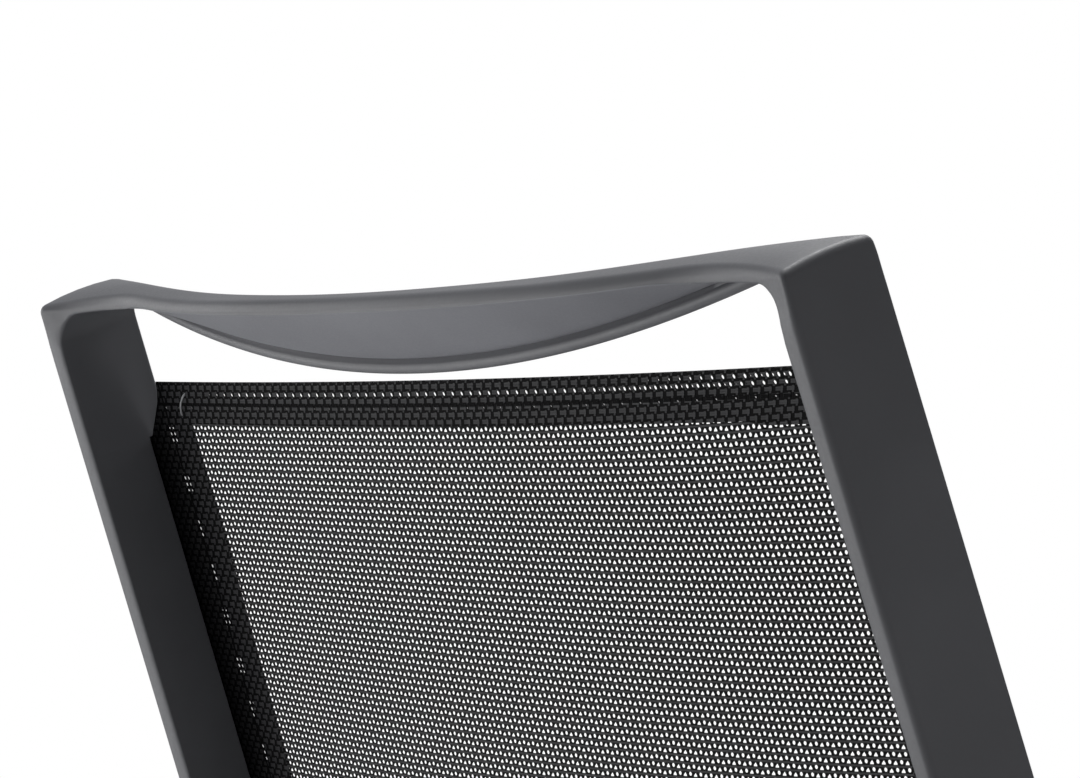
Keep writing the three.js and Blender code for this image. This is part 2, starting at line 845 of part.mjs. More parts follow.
for (const { name, sign } of sides) {
  const bores = padScrews.map((screw) =>
    uprightBar(screwHole, -cutOverrun, screwBite + fitGap, 0, screw.y - padMiddle),
  );
  const pad = cut(padBody(), ...bores);
  place('arm_pad_' + name, pad, greyNylon, sign * hoopMiddle, padMiddle, armHeight);
  for (const screw of padScrews) {
    const head = screwHeadDiameter / 2;
    const shank = screwDiameter / 2;
    const reach = hoopDepth + screwBite;
    const profile = [
      [-screwHeadHeight - fitGap, 0],
      [-screwHeadHeight - fitGap, head * headFlatShare],
      [-screwHeadHeight / 2 - fitGap, head],
      [-fitGap, head],
      [-fitGap, shank],
      [reach, shank],
      [reach, 0],
    ];
    const body = turned(profile, 1, 0, 0, 0);
    body.rotateY(-Math.PI / 2);
    const title = 'arm_pad_screw_' + screw.name + '_' + name;
    place(title, body, steel, sign * hoopMiddle, screw.y, armBottom);
  }
}

// Bolts, nuts and spacers that hold the hoops to the rails

const shankRadius = boltDiameter / 2;
const boltedJoints = [
  { name: 'arm', spot: armBolt, tilt: Math.tan(radians(railSplay)) },
  { name: 'seat', spot: frontBolt, tilt: 0 },
];
for (const { name, sign } of sides) {
  for (const joint of boltedJoints) {
    const railFace = joint.spot.x;
    const railInside = railFace - railThickness;
    const title = (kind) => joint.name + '_' + kind + '_' + name;
    const at = [joint.spot.y, joint.spot.z];
    const lean = (radius) => radius * joint.tilt;
    const headRadius = boltHeadDiameter / 2;
    const nutRadius = nutDiameter / 2;
    const nutFace = railInside - fitGap - lean(nutRadius);
    const shankEnd = nutFace - nutGrip;
    const boltProfile = [
      [shankEnd, 0],
      [shankEnd, shankRadius],
      [hoopOuter + fitGap, shankRadius],
      [hoopOuter + fitGap, headRadius],
      [hoopOuter + fitGap + boltHeadHeight / 2, headRadius * headRimShare],
      [hoopOuter + fitGap + boltHeadHeight, headRadius * headFlatShare],
      [hoopOuter + fitGap + boltHeadHeight, 0],
    ];
    place(title('bolt'), turned(boltProfile, sign, 0, ...at), steel);
    const bore = shankRadius + fitGap;
    const nutProfile = [
      [nutFace - nutHeight, 0],
      [nutFace - nutHeight, nutRadius * headFlatShare],
      [nutFace - nutHeight / 2, nutRadius],
      [nutFace, nutRadius],
      [nutFace, bore],
      [shankEnd - fitGap, bore],
      [shankEnd - fitGap, 0],
    ];
    place(title('nut'), turned(nutProfile, sign, 0, ...at), steel);
    const spacerRadius = spacerDiameter / 2;
    const from = railFace + fitGap + lean(spacerRadius);
    const to = hoopInner - fitGap;
    const spacerProfile = [
      [from, bore],
      [from, spacerRadius],
      [to, spacerRadius],
      [to, bore],
      [from, bore],
    ];
    place(title('spacer'), turned(spacerProfile, sign, 0, ...at), blackNylon);
  }
}

// Spreaders

// A line across the chair that bows away from the sling and meets both rails square. It may stop short of them.
class BowedLine extends THREE.Curve {
  constructor(half, reach) {
    super();
    this.half = half;
    this.reach = reach;
  }

  getPoint(share, target = new THREE.Vector3()) {
    const across = (2 * share - 1) * this.reach;
    const fall = (spreaderBow * (1 + Math.cos((Math.PI * across) / this.half))) / 2;
    return target.set(across, 0, -fall);
  }
}

function tubeAcross(half, reach, diameter) {
  const ring = new THREE.Shape();
  ring.absarc(0, 0, diameter / 2, 0, 2 * Math.PI);
  const path = new BowedLine(half, reach);
  return new THREE.ExtrudeGeometry(ring, {
    steps: spreaderSteps,
    curveSegments: roundSides / 2,
    extrudePath: path,
  });
}

for (const spreader of spreaders) {
  const spot = railPath.at(spreader.at);
  const reach = railHalfWidth(spreader.at) - railThickness - fitGap;
  const splay = spreader.at < backEnd ? Math.tan(radians(railSplay)) : 0;
  const half = reach - (spreaderDiameter / 2) * splay;
  const tube = tubeAcross(half, half, spreaderDiameter);
  const bore = tubeAcross(half, half - spreaderPlugLength, spreaderDiameter - 2 * spreaderWall);
  const vent = new THREE.CylinderGeometry(spreaderVent / 2, spreaderVent / 2, spreaderDiameter, roundSides);
  vent.rotateX(Math.PI / 2);
  vent.translate(0, 0, -spreaderBow - spreaderDiameter / 2);
  const threads = sides.map(({ sign }) =>
    crossBar(boltHole, sign * (half + cutOverrun), sign * (half - spreaderBoltReach - fitGap), 0, 0),
  );
  const bar = cut(tube, bore, vent, ...threads);
  const y = spot.y + spot.normal.y * chamberCentre;
  const z = spot.z + spot.normal.z * chamberCentre;
  const mesh = place(spreader.name + '_spreader', bar, coated, 0, y, z);
  mesh.rotation.x = -Math.atan2(spot.normal.y, spot.normal.z);
  for (const { name, sign } of sides) {
    const face = railHalfWidth(spreader.at) + (lowHeadDiameter / 2) * splay + fitGap;
    const headRadius = lowHeadDiameter / 2;
    const profile = [
      [half - spreaderBoltReach, 0],
      [half - spreaderBoltReach, shankRadius],
      [face, shankRadius],
      [face, headRadius],
      [face + lowHeadHeight / 2, headRadius],
      [face + lowHeadHeight, headRadius * headFlatShare],
      [face + lowHeadHeight, 0],
    ];
    place(spreader.name + '_spreader_bolt_' + name, turned(profile, sign, 0, y, z), steel);
  }
}

// Caps on the front ends of the rails

for (const { name, sign } of sides) {
  const inset = railWall + fitGap;
  const plugSection = box(inset, inset, railThickness - inset, railWall + chamberDepth - fitGap);
  const capSection = roundedBox(0, 0, railThickness, railDepth, railEdgeRadius);
  const capFrom = railEnd + fitGap;
  const cap = sweepRail(sign, [capFrom, capFrom + capLength], capSection);
  const plug = sweepRail(sign, [railEnd - capPlugLength, capFrom + capLength / 2], plugSection);
  place('rail_cap_' + name, joined(cap, plug), blackNylon);
}

// The origin goes to the floor under the middle of the chair.
const bounds = new THREE.Box3().setFromObject(chair);
for (const piece of chair.children) {
  piece.position.y -= (bounds.min.y + bounds.max.y) / 2;
}

export default chair;
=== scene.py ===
# Sling patio chair: finished surfaces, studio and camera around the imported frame.
# Sizes are in millimetres and degrees until a mesh is finished, which turns it to metres. A pair
# of values gives the two places between which something changes softly.

import math

import bmesh
import bpy
from mathutils import Matrix, Vector


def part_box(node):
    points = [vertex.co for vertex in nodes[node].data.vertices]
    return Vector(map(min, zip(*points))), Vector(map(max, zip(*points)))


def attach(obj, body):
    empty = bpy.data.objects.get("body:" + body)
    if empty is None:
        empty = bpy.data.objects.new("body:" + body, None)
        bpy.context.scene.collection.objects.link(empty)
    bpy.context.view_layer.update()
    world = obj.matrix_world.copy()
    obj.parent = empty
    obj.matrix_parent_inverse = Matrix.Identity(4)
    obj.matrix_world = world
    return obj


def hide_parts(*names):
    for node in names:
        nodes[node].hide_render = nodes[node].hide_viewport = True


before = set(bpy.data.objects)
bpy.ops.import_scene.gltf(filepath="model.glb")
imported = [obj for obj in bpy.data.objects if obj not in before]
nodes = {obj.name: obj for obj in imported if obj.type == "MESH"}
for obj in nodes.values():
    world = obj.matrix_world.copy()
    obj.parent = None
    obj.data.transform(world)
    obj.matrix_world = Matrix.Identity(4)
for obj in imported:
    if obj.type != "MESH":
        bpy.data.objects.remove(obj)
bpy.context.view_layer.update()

MM = 0.001
SIDES = {"left": 1, "right": -1}

# Side rails, on the path that the part's source gives them. Their rear inner edge is a wide,
# shallow oval.
TOP_WIDTH = 520
SEAT_HEIGHT = 440
BACK_LEAN = 19.4
RAIL_SPLAY = math.tan(math.radians(2))
SEAT_RISE = 6
RAIL_DEPTH = 39.5
RAIL_THICKNESS = 10
RAIL_REAR_EDGE = 2.7
RAIL_INNER_EDGE = 6
RAIL_INNER_SINK = 1.6
RAIL_FRONT_EDGE = 1.4
BACK_RUN = 466
SEAT_BEND_RADIUS = 115
SEAT_RUN = 300
KNEE_RADIUS = 35
KNEE_TURN = 58
RAIL_TIP = 14
CHAMBER_CENTRE = 13.5
GROOVE_FROM_REAR = 30.4
GROOVE_SLOT = 2.6
GROOVE_DEPTH = 7.2
GROOVE_BREAK = 0.3

# Crest: its section and the roundings, which change between the middle and the corners.
CORNER_EDGE = 2.4
CREST_LIP = 3.8
CREST_THICKNESS = 5.2
LIP_THICKENS = (175, 208)
LIP_EDGE = 0.4
LIP_END_EDGE = 1.1
LIP_EDGE_GROWS = (195, 235)
CREST_FILLET = 12
CREST_REAR_RADIUS = 4.4
REAR_END_RADIUS = 3.4
CREST_FRONT_RADIUS = 4
FRONT_END_RADIUS = 5.5
ENDS_GROW = (60, 235)
CORNER_TURNS = (30, 65)

# Crown of the crest's top, which tilts over the rails and is eased down along its rear there.
CREST_DOME = 0.9
RAIL_DOME = 1.9
RAIL_DOME_TILT = 0.75
DOME_DEPTH = 7
OUTER_FADE = 0.25
OUTER_FADES = (246, 262)
REAR_EASE = 1.1
EASE_GROWS = (130, 225)
EASE_ENDS = (244, 260)
EASE_WIDTH = 13

# Rear and front edges of the crest: how far they bow, and how steeply they run to the corners.
CREST_REAR_BOW = 10.1
CREST_REAR_SWEEP = 36
CREST_REAR_BEND = 2.4
CREST_SHOULDER = 10
CREST_SHOULDER_REACH = 55
CREST_REAR_BLEND = 3
REAR_FADES = (5, 21)
CREST_FRONT_MIDDLE = 1.2
CREST_FRONT_BEND = 1.9

# Blade and the bead along its lower edge. A bead's foot turns round by so many degrees.
BLADE_DROP = 35.8
BLADE_RISE = 35.1
BLADE_FORWARD = 14
BLADE_SWEEP = 19.2
BLADE_ENDS = (0.88, 0.97)
BEAD_DEEP = 2.2
BEAD_TALL = 2.5
BEAD_FOOT = 155
BEAD_HEIGHT = 4.2

# Pressed panel, set into a pocket of the crest's rear. Its ends are narrower and thinner.
PANEL_SPAN = 0.84
PANEL_THICKNESS = 0.8
PANEL_POCKET = 2.3
POCKET_DEEPENS = (0.2, 3)
PANEL_BEHIND_LIP = 0.25
PANEL_SINK = 0.1
PANEL_GAP = 0.4
PANEL_CREASE = 0.5
PANEL_ROLL = 0.8
PANEL_BULGE = 0.25
BULGE_GROWS = (6, 20)
PANEL_END = 0.3
PANEL_ENDS = (-0.01, 0.06)
PANEL_LEAST_RUN = 8
PANEL_ROLL_PLACES = (0, 0.25, 0.6, 1.1, 1.7, 2.5)
UPPER_ROLL_WIDTH = 0.7

# Sling: the sheet, how far it sags between its grooves, and the skew of its rows on the back
SLING_TOP = 43.9
SLING_TAUT_RUN = 68
SLING_END_INSET = 2
SLING_IN_GROOVE = 5.5
SAG_BACK = 8
SAG_BEND = 6
SAG_SEAT = 18
SAG_KNEE = 5
SKEW = 0.79
SKEW_BOW = 0.43
WEAVE_DRIFT = (0.29, -0.26, 0.12)
MESH_THICKNESS = 0.24
HEM_THICKNESS = 0.5
STITCHED_THICKNESS = 0.62
TOP_HEM = 18.6
TOP_STITCH = 10
SIDE_POCKET = 25
SIDE_HEM = 44.6
CORNER_CUT = 23
CORNER_CUT_LENGTH = 37
GROOVE_TOP = SLING_TOP + 24

# Weave: distances between the gaps and between their rows, and what shows through the hems.
HOLE_PITCH = 3.143
COLUMN_OFFSET = 1.44
ROW_PITCH = 2.852
FIRST_ROW = 19.8
SPECKS_FROM_SIDE = 21
SEAM_SPELL = 20.7
SEAM_SPELL_START = 14.2
NEEDLE_PITCH = 11.3

# Bent end of the sewing thread
THREAD_TOP = 4.7
THREAD_LENGTH = 9.8
THREAD_INSET = 43.5
THREAD_BEND = 7.9
THREAD_PROUD = 0.55
THREAD_RADIUS = 0.42

# Side hoops
HOOP_DEPTH = 36
HOOP_THICKNESS = 14
HOOP_EDGE = 3
HOOP_GAP = 4
ARM_HEIGHT = 635
FRONT_LEAN = 3
REAR_LEAN = 5
HOOP_FRONT_RADIUS = 62
HOOP_REAR_RADIUS = 70
ARM_PAST_BOLT = 12
FRONT_BOLT_INSET = 24
GLIDE_HEIGHT = 8

# Arm pads. The last three values are what is left of the width, thickness and skirt at the ends.
PAD_LENGTH = 300
PAD_WIDTH = 46
PAD_THICKNESS = 13
PAD_SKIRT = 8
PAD_OFFSET = 4
PAD_ROUND_END = 14
PAD_EDGE = 3
PAD_LINE_DEPTH = 0.7
PAD_LINE = (0.8, 1.6, 2.4)
PAD_SHOULDER = 3.2
PAD_END_WIDTH = 0.72
PAD_END_THICKNESS = 0.55
PAD_END_SKIRT = 0.5

# Spreaders and fasteners. A head's flank and flat top are shares of its height and radius.
SPREADER_DIAMETER = 19
SPREADER_BOW = 38
BACK_SPREADER_ABOVE = 70
REAR_SPREADER_AHEAD = 26
FRONT_SPREADER_BEHIND = 70
BOLT_HEAD_DIAMETER = 17
BOLT_HEAD_HEIGHT = 4.6
LOW_HEAD_DIAMETER = 15
LOW_HEAD_HEIGHT = 2.8
HEAD_EDGE = 0.3
HEAD_FLANK = 0.35
HEAD_FLAT = 0.56
SOCKET_ACROSS = 6
SOCKET_DEPTH = 2.2
SHANK_RADIUS = 4
BOLT_PAST_NUT_FACE = 4
SPREADER_BOLT_REACH = 12
NUT_RADIUS = 7
NUT_HEIGHT = 4.4
NUT_CHAMFER = 0.4
NUT_DOME_RADIUS = 5.6
NUT_DOME_HEIGHT = 3.6
FIT_GAP = 0.3
# How far two parts of one mesh overlap
OVERLAP = 0.1


def steps(first, last, count):
    return [first + (last - first) * i / count for i in range(count + 1)]


def smooth(value, low, high):
    """0 below the low limit and 1 above the high one, with a soft rise between them."""
    share = min(max((value - low) / (high - low), 0), 1)
    return share * share * (3 - 2 * share)


def mixed(a, b, share):
    return a + (b - a) * share


def sine(degrees):
    return math.sin(math.radians(degrees))


def cosine(degrees):
    return math.cos(math.radians(degrees))


class BentPath:
    """Straight runs and bends in the side view. Heading 0 points forwards and 90 up."""

    def __init__(self, y, z, heading, pieces):
        self.legs = []
        angle, along = math.radians(heading), 0
        for run, radius, turn in pieces:
            turn = math.radians(turn)
            length = run or radius * abs(turn)
            self.legs.append((y, z, angle, along, length, turn, radius))
            y, z, _, _ = self.on_leg(self.legs[-1], length)
            angle += turn
            along += length
        self.marks = [0] + [leg[3] + leg[4] for leg in self.legs]

    def on_leg(self, leg, distance):
        y, z, start, _, length, turn, radius = leg
        angle = start + turn * distance / length
        normal_y, normal_z = math.sin(angle), math.cos(angle)
        if turn == 0:
            return y - normal_z * distance, z + normal_y * distance, normal_y, normal_z
        reach = math.copysign(radius, turn)
        y += reach * (math.sin(start) - normal_y)
        z += reach * (math.cos(start) - normal_z)
        return y, z, normal_y, normal_z

    def at(self, distance):
        """Y, z and the normal there, which points forwards on the back and up on the seat."""
        leg = next((leg for leg in reversed(self.legs) if distance >= leg[3]), self.legs[0])
        return self.on_leg(leg, distance - leg[3])


# The rails' path, from the top of the back to the tips past the knees
RAIL_PIECES = [
    (BACK_RUN, 0, 0),
    (0, SEAT_BEND_RADIUS, 90 - BACK_LEAN + SEAT_RISE),
    (SEAT_RUN, 0, 0),
    (0, KNEE_RADIUS, -KNEE_TURN),
    (RAIL_TIP, 0, 0),
]
hung_path = BentPath(0, 0, BACK_LEAN - 90, RAIL_PIECES)
_, BACK_END, BEND_END, KNEE_START, KNEE_END, RAIL_END = hung_path.marks
_, knee_z, _, knee_normal_z = hung_path.at(KNEE_START)
BACK_TOP = SEAT_HEIGHT - knee_z - knee_normal_z * RAIL_DEPTH
rail_path = BentPath(0, BACK_TOP, BACK_LEAN - 90, RAIL_PIECES)
LEAN_SINE, LEAN_COSINE = sine(BACK_LEAN), cosine(BACK_LEAN)


def rail_half(distance):
    """Half of the width over both rails, so far down them. They splay along the back."""
    return TOP_WIDTH / 2 + RAIL_SPLAY * min(distance, BACK_RUN)


def rail_point(sign, distance, inwards, forwards):
    """A point on a rail, from its outer face inwards and from its rear forwards."""
    y, z, normal_y, normal_z = rail_path.at(distance)
    across = sign * (rail_half(distance) - inwards)
    return Vector((across, y + normal_y * forwards, z + normal_z * forwards))


def back_point(across, forwards, down):
    """A point of the crest, in the plane of the back."""
    y = -down * LEAN_SINE - forwards * LEAN_COSINE
    return Vector((across, y, BACK_TOP - down * LEAN_COSINE + forwards * LEAN_SINE))


# The hoops' path, from the front foot up, along the arm and down to the rear foot
front_bolt = rail_point(1, KNEE_START - FRONT_BOLT_INSET, 0, CHAMBER_CENTRE)
ARM_CENTRE = ARM_HEIGHT - HOOP_DEPTH / 2
ARM_BOLT_AT = (BACK_TOP + CHAMBER_CENTRE * LEAN_SINE - ARM_CENTRE) / LEAN_COSINE
arm_bolt = rail_point(1, ARM_BOLT_AT, 0, CHAMBER_CENTRE)
HOOP_INNER = rail_half(BACK_RUN) + HOOP_GAP
HOOP_MIDDLE = HOOP_INNER + HOOP_THICKNESS / 2
HOOP_OUTER = HOOP_INNER + HOOP_THICKNESS
FRONT_SLOPE = math.tan(math.radians(FRONT_LEAN))
LEG_RISE = ARM_CENTRE - GLIDE_HEIGHT
front_corner = front_bolt.y + (ARM_CENTRE - front_bolt.z) * FRONT_SLOPE
front_foot = front_bolt.y - (front_bolt.z - GLIDE_HEIGHT) * FRONT_SLOPE
front_tangent = HOOP_FRONT_RADIUS * math.tan(math.radians((90 - FRONT_LEAN) / 2))
rear_tangent = HOOP_REAR_RADIUS * math.tan(math.radians((90 - REAR_LEAN) / 2))
rear_corner = arm_bolt.y + ARM_PAST_BOLT + rear_tangent
HOOP_PIECES = [
    (LEG_RISE / cosine(FRONT_LEAN) - front_tangent, 0, 0),
    (0, HOOP_FRONT_RADIUS, 90 - FRONT_LEAN),
    (rear_corner - front_corner - front_tangent - rear_tangent, 0, 0),
    (0, HOOP_REAR_RADIUS, 90 - REAR_LEAN),
    (LEG_RISE / cosine(REAR_LEAN) - rear_tangent, 0, 0),
]
hoop_path = BentPath(front_foot, GLIDE_HEIGHT, 90 + FRONT_LEAN, HOOP_PIECES)

# The part's origin lies under the middle of the chair, so each piece moves along Y by this much.
glide_low, glide_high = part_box("glide_front_left")
SHIFT_Y = (glide_low[1] + glide_high[1]) / 2 / MM - front_foot


def finished(name, mesh, material, replaced=(), sharp=None):
    """Turns a bmesh in millimetres into a piece of the chair.

    Edges that turn by more degrees than the sharp angle stay crisp.
    """
    bmesh.ops.remove_doubles(mesh, verts=mesh.verts, dist=0.001)
    bmesh.ops.translate(mesh, verts=mesh.verts, vec=(0, SHIFT_Y, 0))
    bmesh.ops.scale(mesh, verts=mesh.verts, vec=(MM, MM, MM))
    bmesh.ops.recalc_face_normals(mesh, faces=mesh.faces)
    data = bpy.data.meshes.new(name)
    mesh.to_mesh(data)
    mesh.free()
    data.shade_smooth()
    if sharp:
        data.set_sharp_from_angle(angle=math.radians(sharp))
    piece = bpy.data.objects.new(name, data)
    bpy.context.collection.objects.link(piece)
    data.materials.append(material)
    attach(piece, "root")
    if replaced:
        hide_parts(*replaced)
    return piece


def loft(mesh, sections):
    """Pulls a closed loop of points through each section in turn, and caps both ends."""
    loop = [mesh.verts.new(point) for point in sections[0]]
    edges = [mesh.edges.new(pair) for pair in zip(loop, loop[1:] + loop[:1])]
    mesh.faces.new(loop)
    for section in sections[1:]:
        grown = bmesh.ops.extrude_edge_only(mesh, edges=edges)["geom"]
        fresh = {item for item in grown if isinstance(item, bmesh.types.BMVert)}
        grown_edges = [item for item in grown if isinstance(item, bmesh.types.BMEdge)]
        edges = [edge for edge in grown_edges if set(edge.verts) <= fresh]
        ends = [[edge.other_vert(vertex) for edge in vertex.link_edges] for vertex in loop]
        loop = [next(vertex for vertex in others if vertex in fresh) for others in ends]
        for vertex, point in zip(loop, section):
            vertex.co = point
    mesh.faces.new(loop)


def arc(centre_x, centre_y, radius, first, last, count):
    return [
        (centre_x + radius * cosine(angle), centre_y + radius * sine(angle))
        for angle in steps(first, last, count)
    ]


def rounded_box(x0, y0, x1, y1, radius, count):
    return (
        arc(x1 - radius, y0 + radius, radius, -90, 0, count)
        + arc(x1 - radius, y1 - radius, radius, 0, 90, count)
        + arc(x0 + radius, y1 - radius, radius, 90, 180, count)
        + arc(x0 + radius, y0 + radius, radius, 180, 270, count)
    )


# Materials

SOFT = {"interpolation_type": "SMOOTHSTEP"}


def srgb(code, shade=1.0):
    """Linear colour from an sRGB hex value, made darker or lighter by a shade."""
    parts = [int(code[i : i + 2], 16) / 255 for i in (1, 3, 5)]
    linear = [c / 12.92 if c <= 0.04045 else ((c + 0.055) / 1.055) ** 2.4 for c in parts]
    return (*(c * shade for c in linear), 1)


def per_metre(size):
    """Scale of a pattern whose features are so many millimetres across."""
    return 1 / (size * MM)


def add(tree, kind, *inputs, **settings):
    """Adds a node. Its inputs are values, outputs or whole nodes, for its sockets in turn.

    A setting with a small first letter is the node's own; a capital one names a socket.
    """
    node = tree.nodes.new("ShaderNode" + kind)
    for key, value in settings.items():
        if key[0].islower():
            setattr(node, key, value)
    pairs = list(zip((socket for socket in node.inputs if socket.enabled), inputs))
    pairs += [(node.inputs[k.replace("_", " ")], v) for k, v in settings.items() if k[0].isupper()]
    for socket, value in pairs:
        if isinstance(value, bpy.types.Node):
            value = next(output for output in value.outputs if output.enabled)
        if isinstance(value, bpy.types.NodeSocket):
            tree.links.new(value, socket)
        else:
            socket.default_value = value
    return node


def new_material(name):
    material = bpy.data.materials.new(name)
    material.use_nodes = True
    material.node_tree.nodes.clear()
    return material, material.node_tree


def finish_surface(tree, colour, roughness, height, depth, metallic=0.0, specular=0.5, alpha=1.0):
    """Ends a material with a shader over a height map that is so many metres deep."""
    bump = add(tree, "Bump", Height=height, Distance=depth, Strength=1.0)
    shader = add(
        tree,
        "BsdfPrincipled",
        Base_Color=colour,
        Metallic=metallic,
        Roughness=roughness,
        Specular_IOR_Level=specular,
        Alpha=alpha,
        Normal=bump,
    )
    add(tree, "OutputMaterial", shader)


def powder_coat(name, code, grain=1.0):
    """Polyester powder, sprayed on aluminium and baked.

    It looks matt and dense, of one tone, with a faint orange peel about 1.2 mm across.
    """
    material, tree = new_material(name)
    place = add(tree, "TexCoord").outputs["Object"]
    peel = add(tree, "TexNoise", place, Scale=per_metre(1.2 * grain))
    cloud = add(tree, "TexNoise", place, Scale=per_metre(60), Detail=3)
    tone = add(tree, "MapRange", cloud, 0.3, 0.7, **SOFT)
    colour = add(tree, "Mix", tone, srgb(code, 0.94), srgb(code, 1.06), data_type="RGBA")
    rough = add(tree, "MapRange", peel, 0.2, 0.8, 0.46, 0.56, **SOFT)
    finish_surface(tree, colour, rough, peel, 0.00001, specular=0.45)
    return material


def moulded(name, code, grain, roughness=0.6):
    """Nylon from a spark-eroded mould, or PVC from a die.

    It looks dull and a little mottled, with an even grain. The real grain is about 0.3 mm, and it
    is drawn coarser so that it shows.
    """
    material, tree = new_material(name)
    place = add(tree, "TexCoord").outputs["Object"]
    bumps = add(tree, "TexNoise", place, Scale=per_metre(grain), Detail=4, Roughness=0.6)
    tone = add(tree, "MapRange", bumps, 0.3, 0.7, **SOFT)
    colour = add(tree, "Mix", tone, srgb(code, 0.85), srgb(code, 1.12), data_type="RGBA")
    smoothest, roughest = roughness - 0.06, roughness + 0.08
    rough = add(tree, "MapRange", bumps, 0.2, 0.8, smoothest, roughest, **SOFT)
    finish_surface(tree, colour, rough, bumps, 0.00008)
    return material


def blackened_steel(name, code):
    """Steel, turned and plated with black zinc.

    It looks dark and half metallic, with fine tool marks and a few greyer spots where it is worn.
    """
    material, tree = new_material(name)
    place = add(tree, "TexCoord").outputs["Object"]
    marks = add(tree, "TexNoise", place, Scale=per_metre(0.5))
    spots = add(tree, "TexNoise", place, Scale=per_metre(4), Detail=3)
    worn = add(tree, "MapRange", spots, 0.35, 0.7, **SOFT)
    colour = add(tree, "Mix", worn, srgb(code), srgb("#55585d"), data_type="RGBA")
    rough = add(tree, "MapRange", spots, 0.3, 0.7, 0.3, 0.48, **SOFT)
    finish_surface(tree, colour, rough, marks, 0.00001, metallic=0.85)
    return material


def twisted_thread(name, code):
    """Polyester, spun and twisted to sewing thread.

    It looks pale and fuzzy, with strands 0.2 mm thick, painted shade where they sink in, and no
    shine.
    """
    material, tree = new_material(name)
    place = add(tree, "TexCoord").outputs["Object"]
    strands = add(tree, "TexNoise", place, Scale=per_metre(0.2))
    # Painted shade: the strands' colour darkens where they sink in.
    raised = add(tree, "MapRange", strands, 0.35, 0.6, **SOFT)
    colour = add(tree, "Mix", raised, srgb(code, 0.6), srgb(code), data_type="RGBA")
    finish_surface(tree, colour, 0.9, strands, 0.0001, specular=0.15)
    return material


def oval(tree, x, y, wide, tall):
    """Squared distance from the middle of an oval, 1 on its rim."""
    x = add(tree, "Math", x, wide, operation="DIVIDE")
    y = add(tree, "Math", y, tall, operation="DIVIDE")
    x = add(tree, "Math", x, x, operation="MULTIPLY")
    y = add(tree, "Math", y, y, operation="MULTIPLY")
    return add(tree, "Math", x, y, operation="ADD")


def specks(tree, x, y, wide, tall, most, *limits):
    """Small oval openings, open by so much at most, where each of the limits lets them show."""
    rim = oval(tree, x, y, wide, tall)
    speck = add(tree, "MapRange", rim, 0.8, 1.2, most, 0, **SOFT)
    for limit in limits:
        speck = add(tree, "Math", speck, limit, operation="MULTIPLY")
    return speck


def mesh_gaps(tree, x, y, turn):
    """How open the mesh is. Round gaps that sit high and low wedges take turns, and both lean."""
    lean = add(tree, "Math", y, 0.25, operation="MULTIPLY")
    upright = add(tree, "Math", x, lean, operation="SUBTRACT")
    round_middle = add(tree, "Math", y, 0.07, operation="ADD")
    round_gap = oval(tree, upright, round_middle, 0.3, 0.29)

    lean = add(tree, "Math", y, 0.38, operation="MULTIPLY")
    upright = add(tree, "Math", x, lean, operation="SUBTRACT")
    off_middle = add(tree, "Math", upright, operation="ABSOLUTE")
    wide = add(tree, "MapRange", y, -0.38, 0.2, 0.01, 0.36, **SOFT)
    wedge_x = add(tree, "Math", off_middle, wide, operation="DIVIDE")
    wedge_middle = add(tree, "Math", y, 0.02, operation="SUBTRACT")
    off_middle = add(tree, "Math", wedge_middle, operation="ABSOLUTE")
    wedge_y = add(tree, "Math", off_middle, 0.29, operation="DIVIDE")
    wedge_gap = add(tree, "Math", wedge_x, wedge_y, operation="MAXIMUM")

    rim = add(tree, "Mix", turn, round_gap, wedge_gap)
    return add(tree, "MapRange", rim, 0.85, 1.1, 1, 0, **SOFT)


def top_hem_specks(tree, across, from_side, row_number, x, y, turn):
    """Two rows of gaps near the top edge that line up with those of the layer behind them.

    The gaps of one turn are large and those of the other small, and both change across the sheet.
    """
    lower_row = add(tree, "Math", row_number, -5, 0.5, operation="COMPARE")
    upper_row = add(tree, "Math", row_number, -6, 0.5, operation="COMPARE")
    large, large_end, small, small_end, upper_large, upper_small = (
        add(tree, "MapRange", across, *limits, **SOFT)
        for limits in (
            (226, 160, 0.02, 0.31),
            (-200, -232, 1, 0.5),
            (-60, -110, 0.01, 0.21),
            (-165, -195, 1, 0.1),
            (-100, -190, 0.1, 0.32),
            (-165, -200, 0.01, 0.22),
        )
    )
    lower_large = add(tree, "Math", large, large_end, operation="MULTIPLY")
    lower_small = add(tree, "Math", small, small_end, operation="MULTIPLY")
    lower = add(tree, "Mix", turn, lower_large, lower_small)
    upper = add(tree, "Mix", turn, upper_large, upper_small)
    size = add(tree, "Mix", upper_row, lower, upper)
    radius = add(tree, "Math", size, 0.001, operation="MAXIMUM")
    in_rows = add(tree, "Math", lower_row, upper_row, operation="ADD")
    shows = add(tree, "Math", size, 0.03, operation="GREATER_THAN")
    inside = add(tree, "Math", from_side, SPECKS_FROM_SIDE, operation="GREATER_THAN")
    return specks(tree, x, y, radius, radius, 1, in_rows, shows, inside)


def seam_specks(tree, from_side, from_top, x, y):
    """Where the side seam strains the cloth, a few gaps open in spells."""
    along = add(tree, "Math", from_top, SEAM_SPELL_START, operation="SUBTRACT")
    along = add(tree, "Math", along, SEAM_SPELL, operation="DIVIDE")
    spell = add(tree, "Math", along, operation="FRACT")
    strained = add(tree, "Math", spell, 0.5, 0.2, operation="COMPARE")
    seam = add(tree, "Math", from_side, SIDE_POCKET + 0.5, 2.7, operation="COMPARE")
    below_top = add(tree, "Math", from_top, SIDE_POCKET / 2, operation="GREATER_THAN")
    return specks(tree, x, y, 0.3, 0.3, 0.75, strained, seam, below_top)


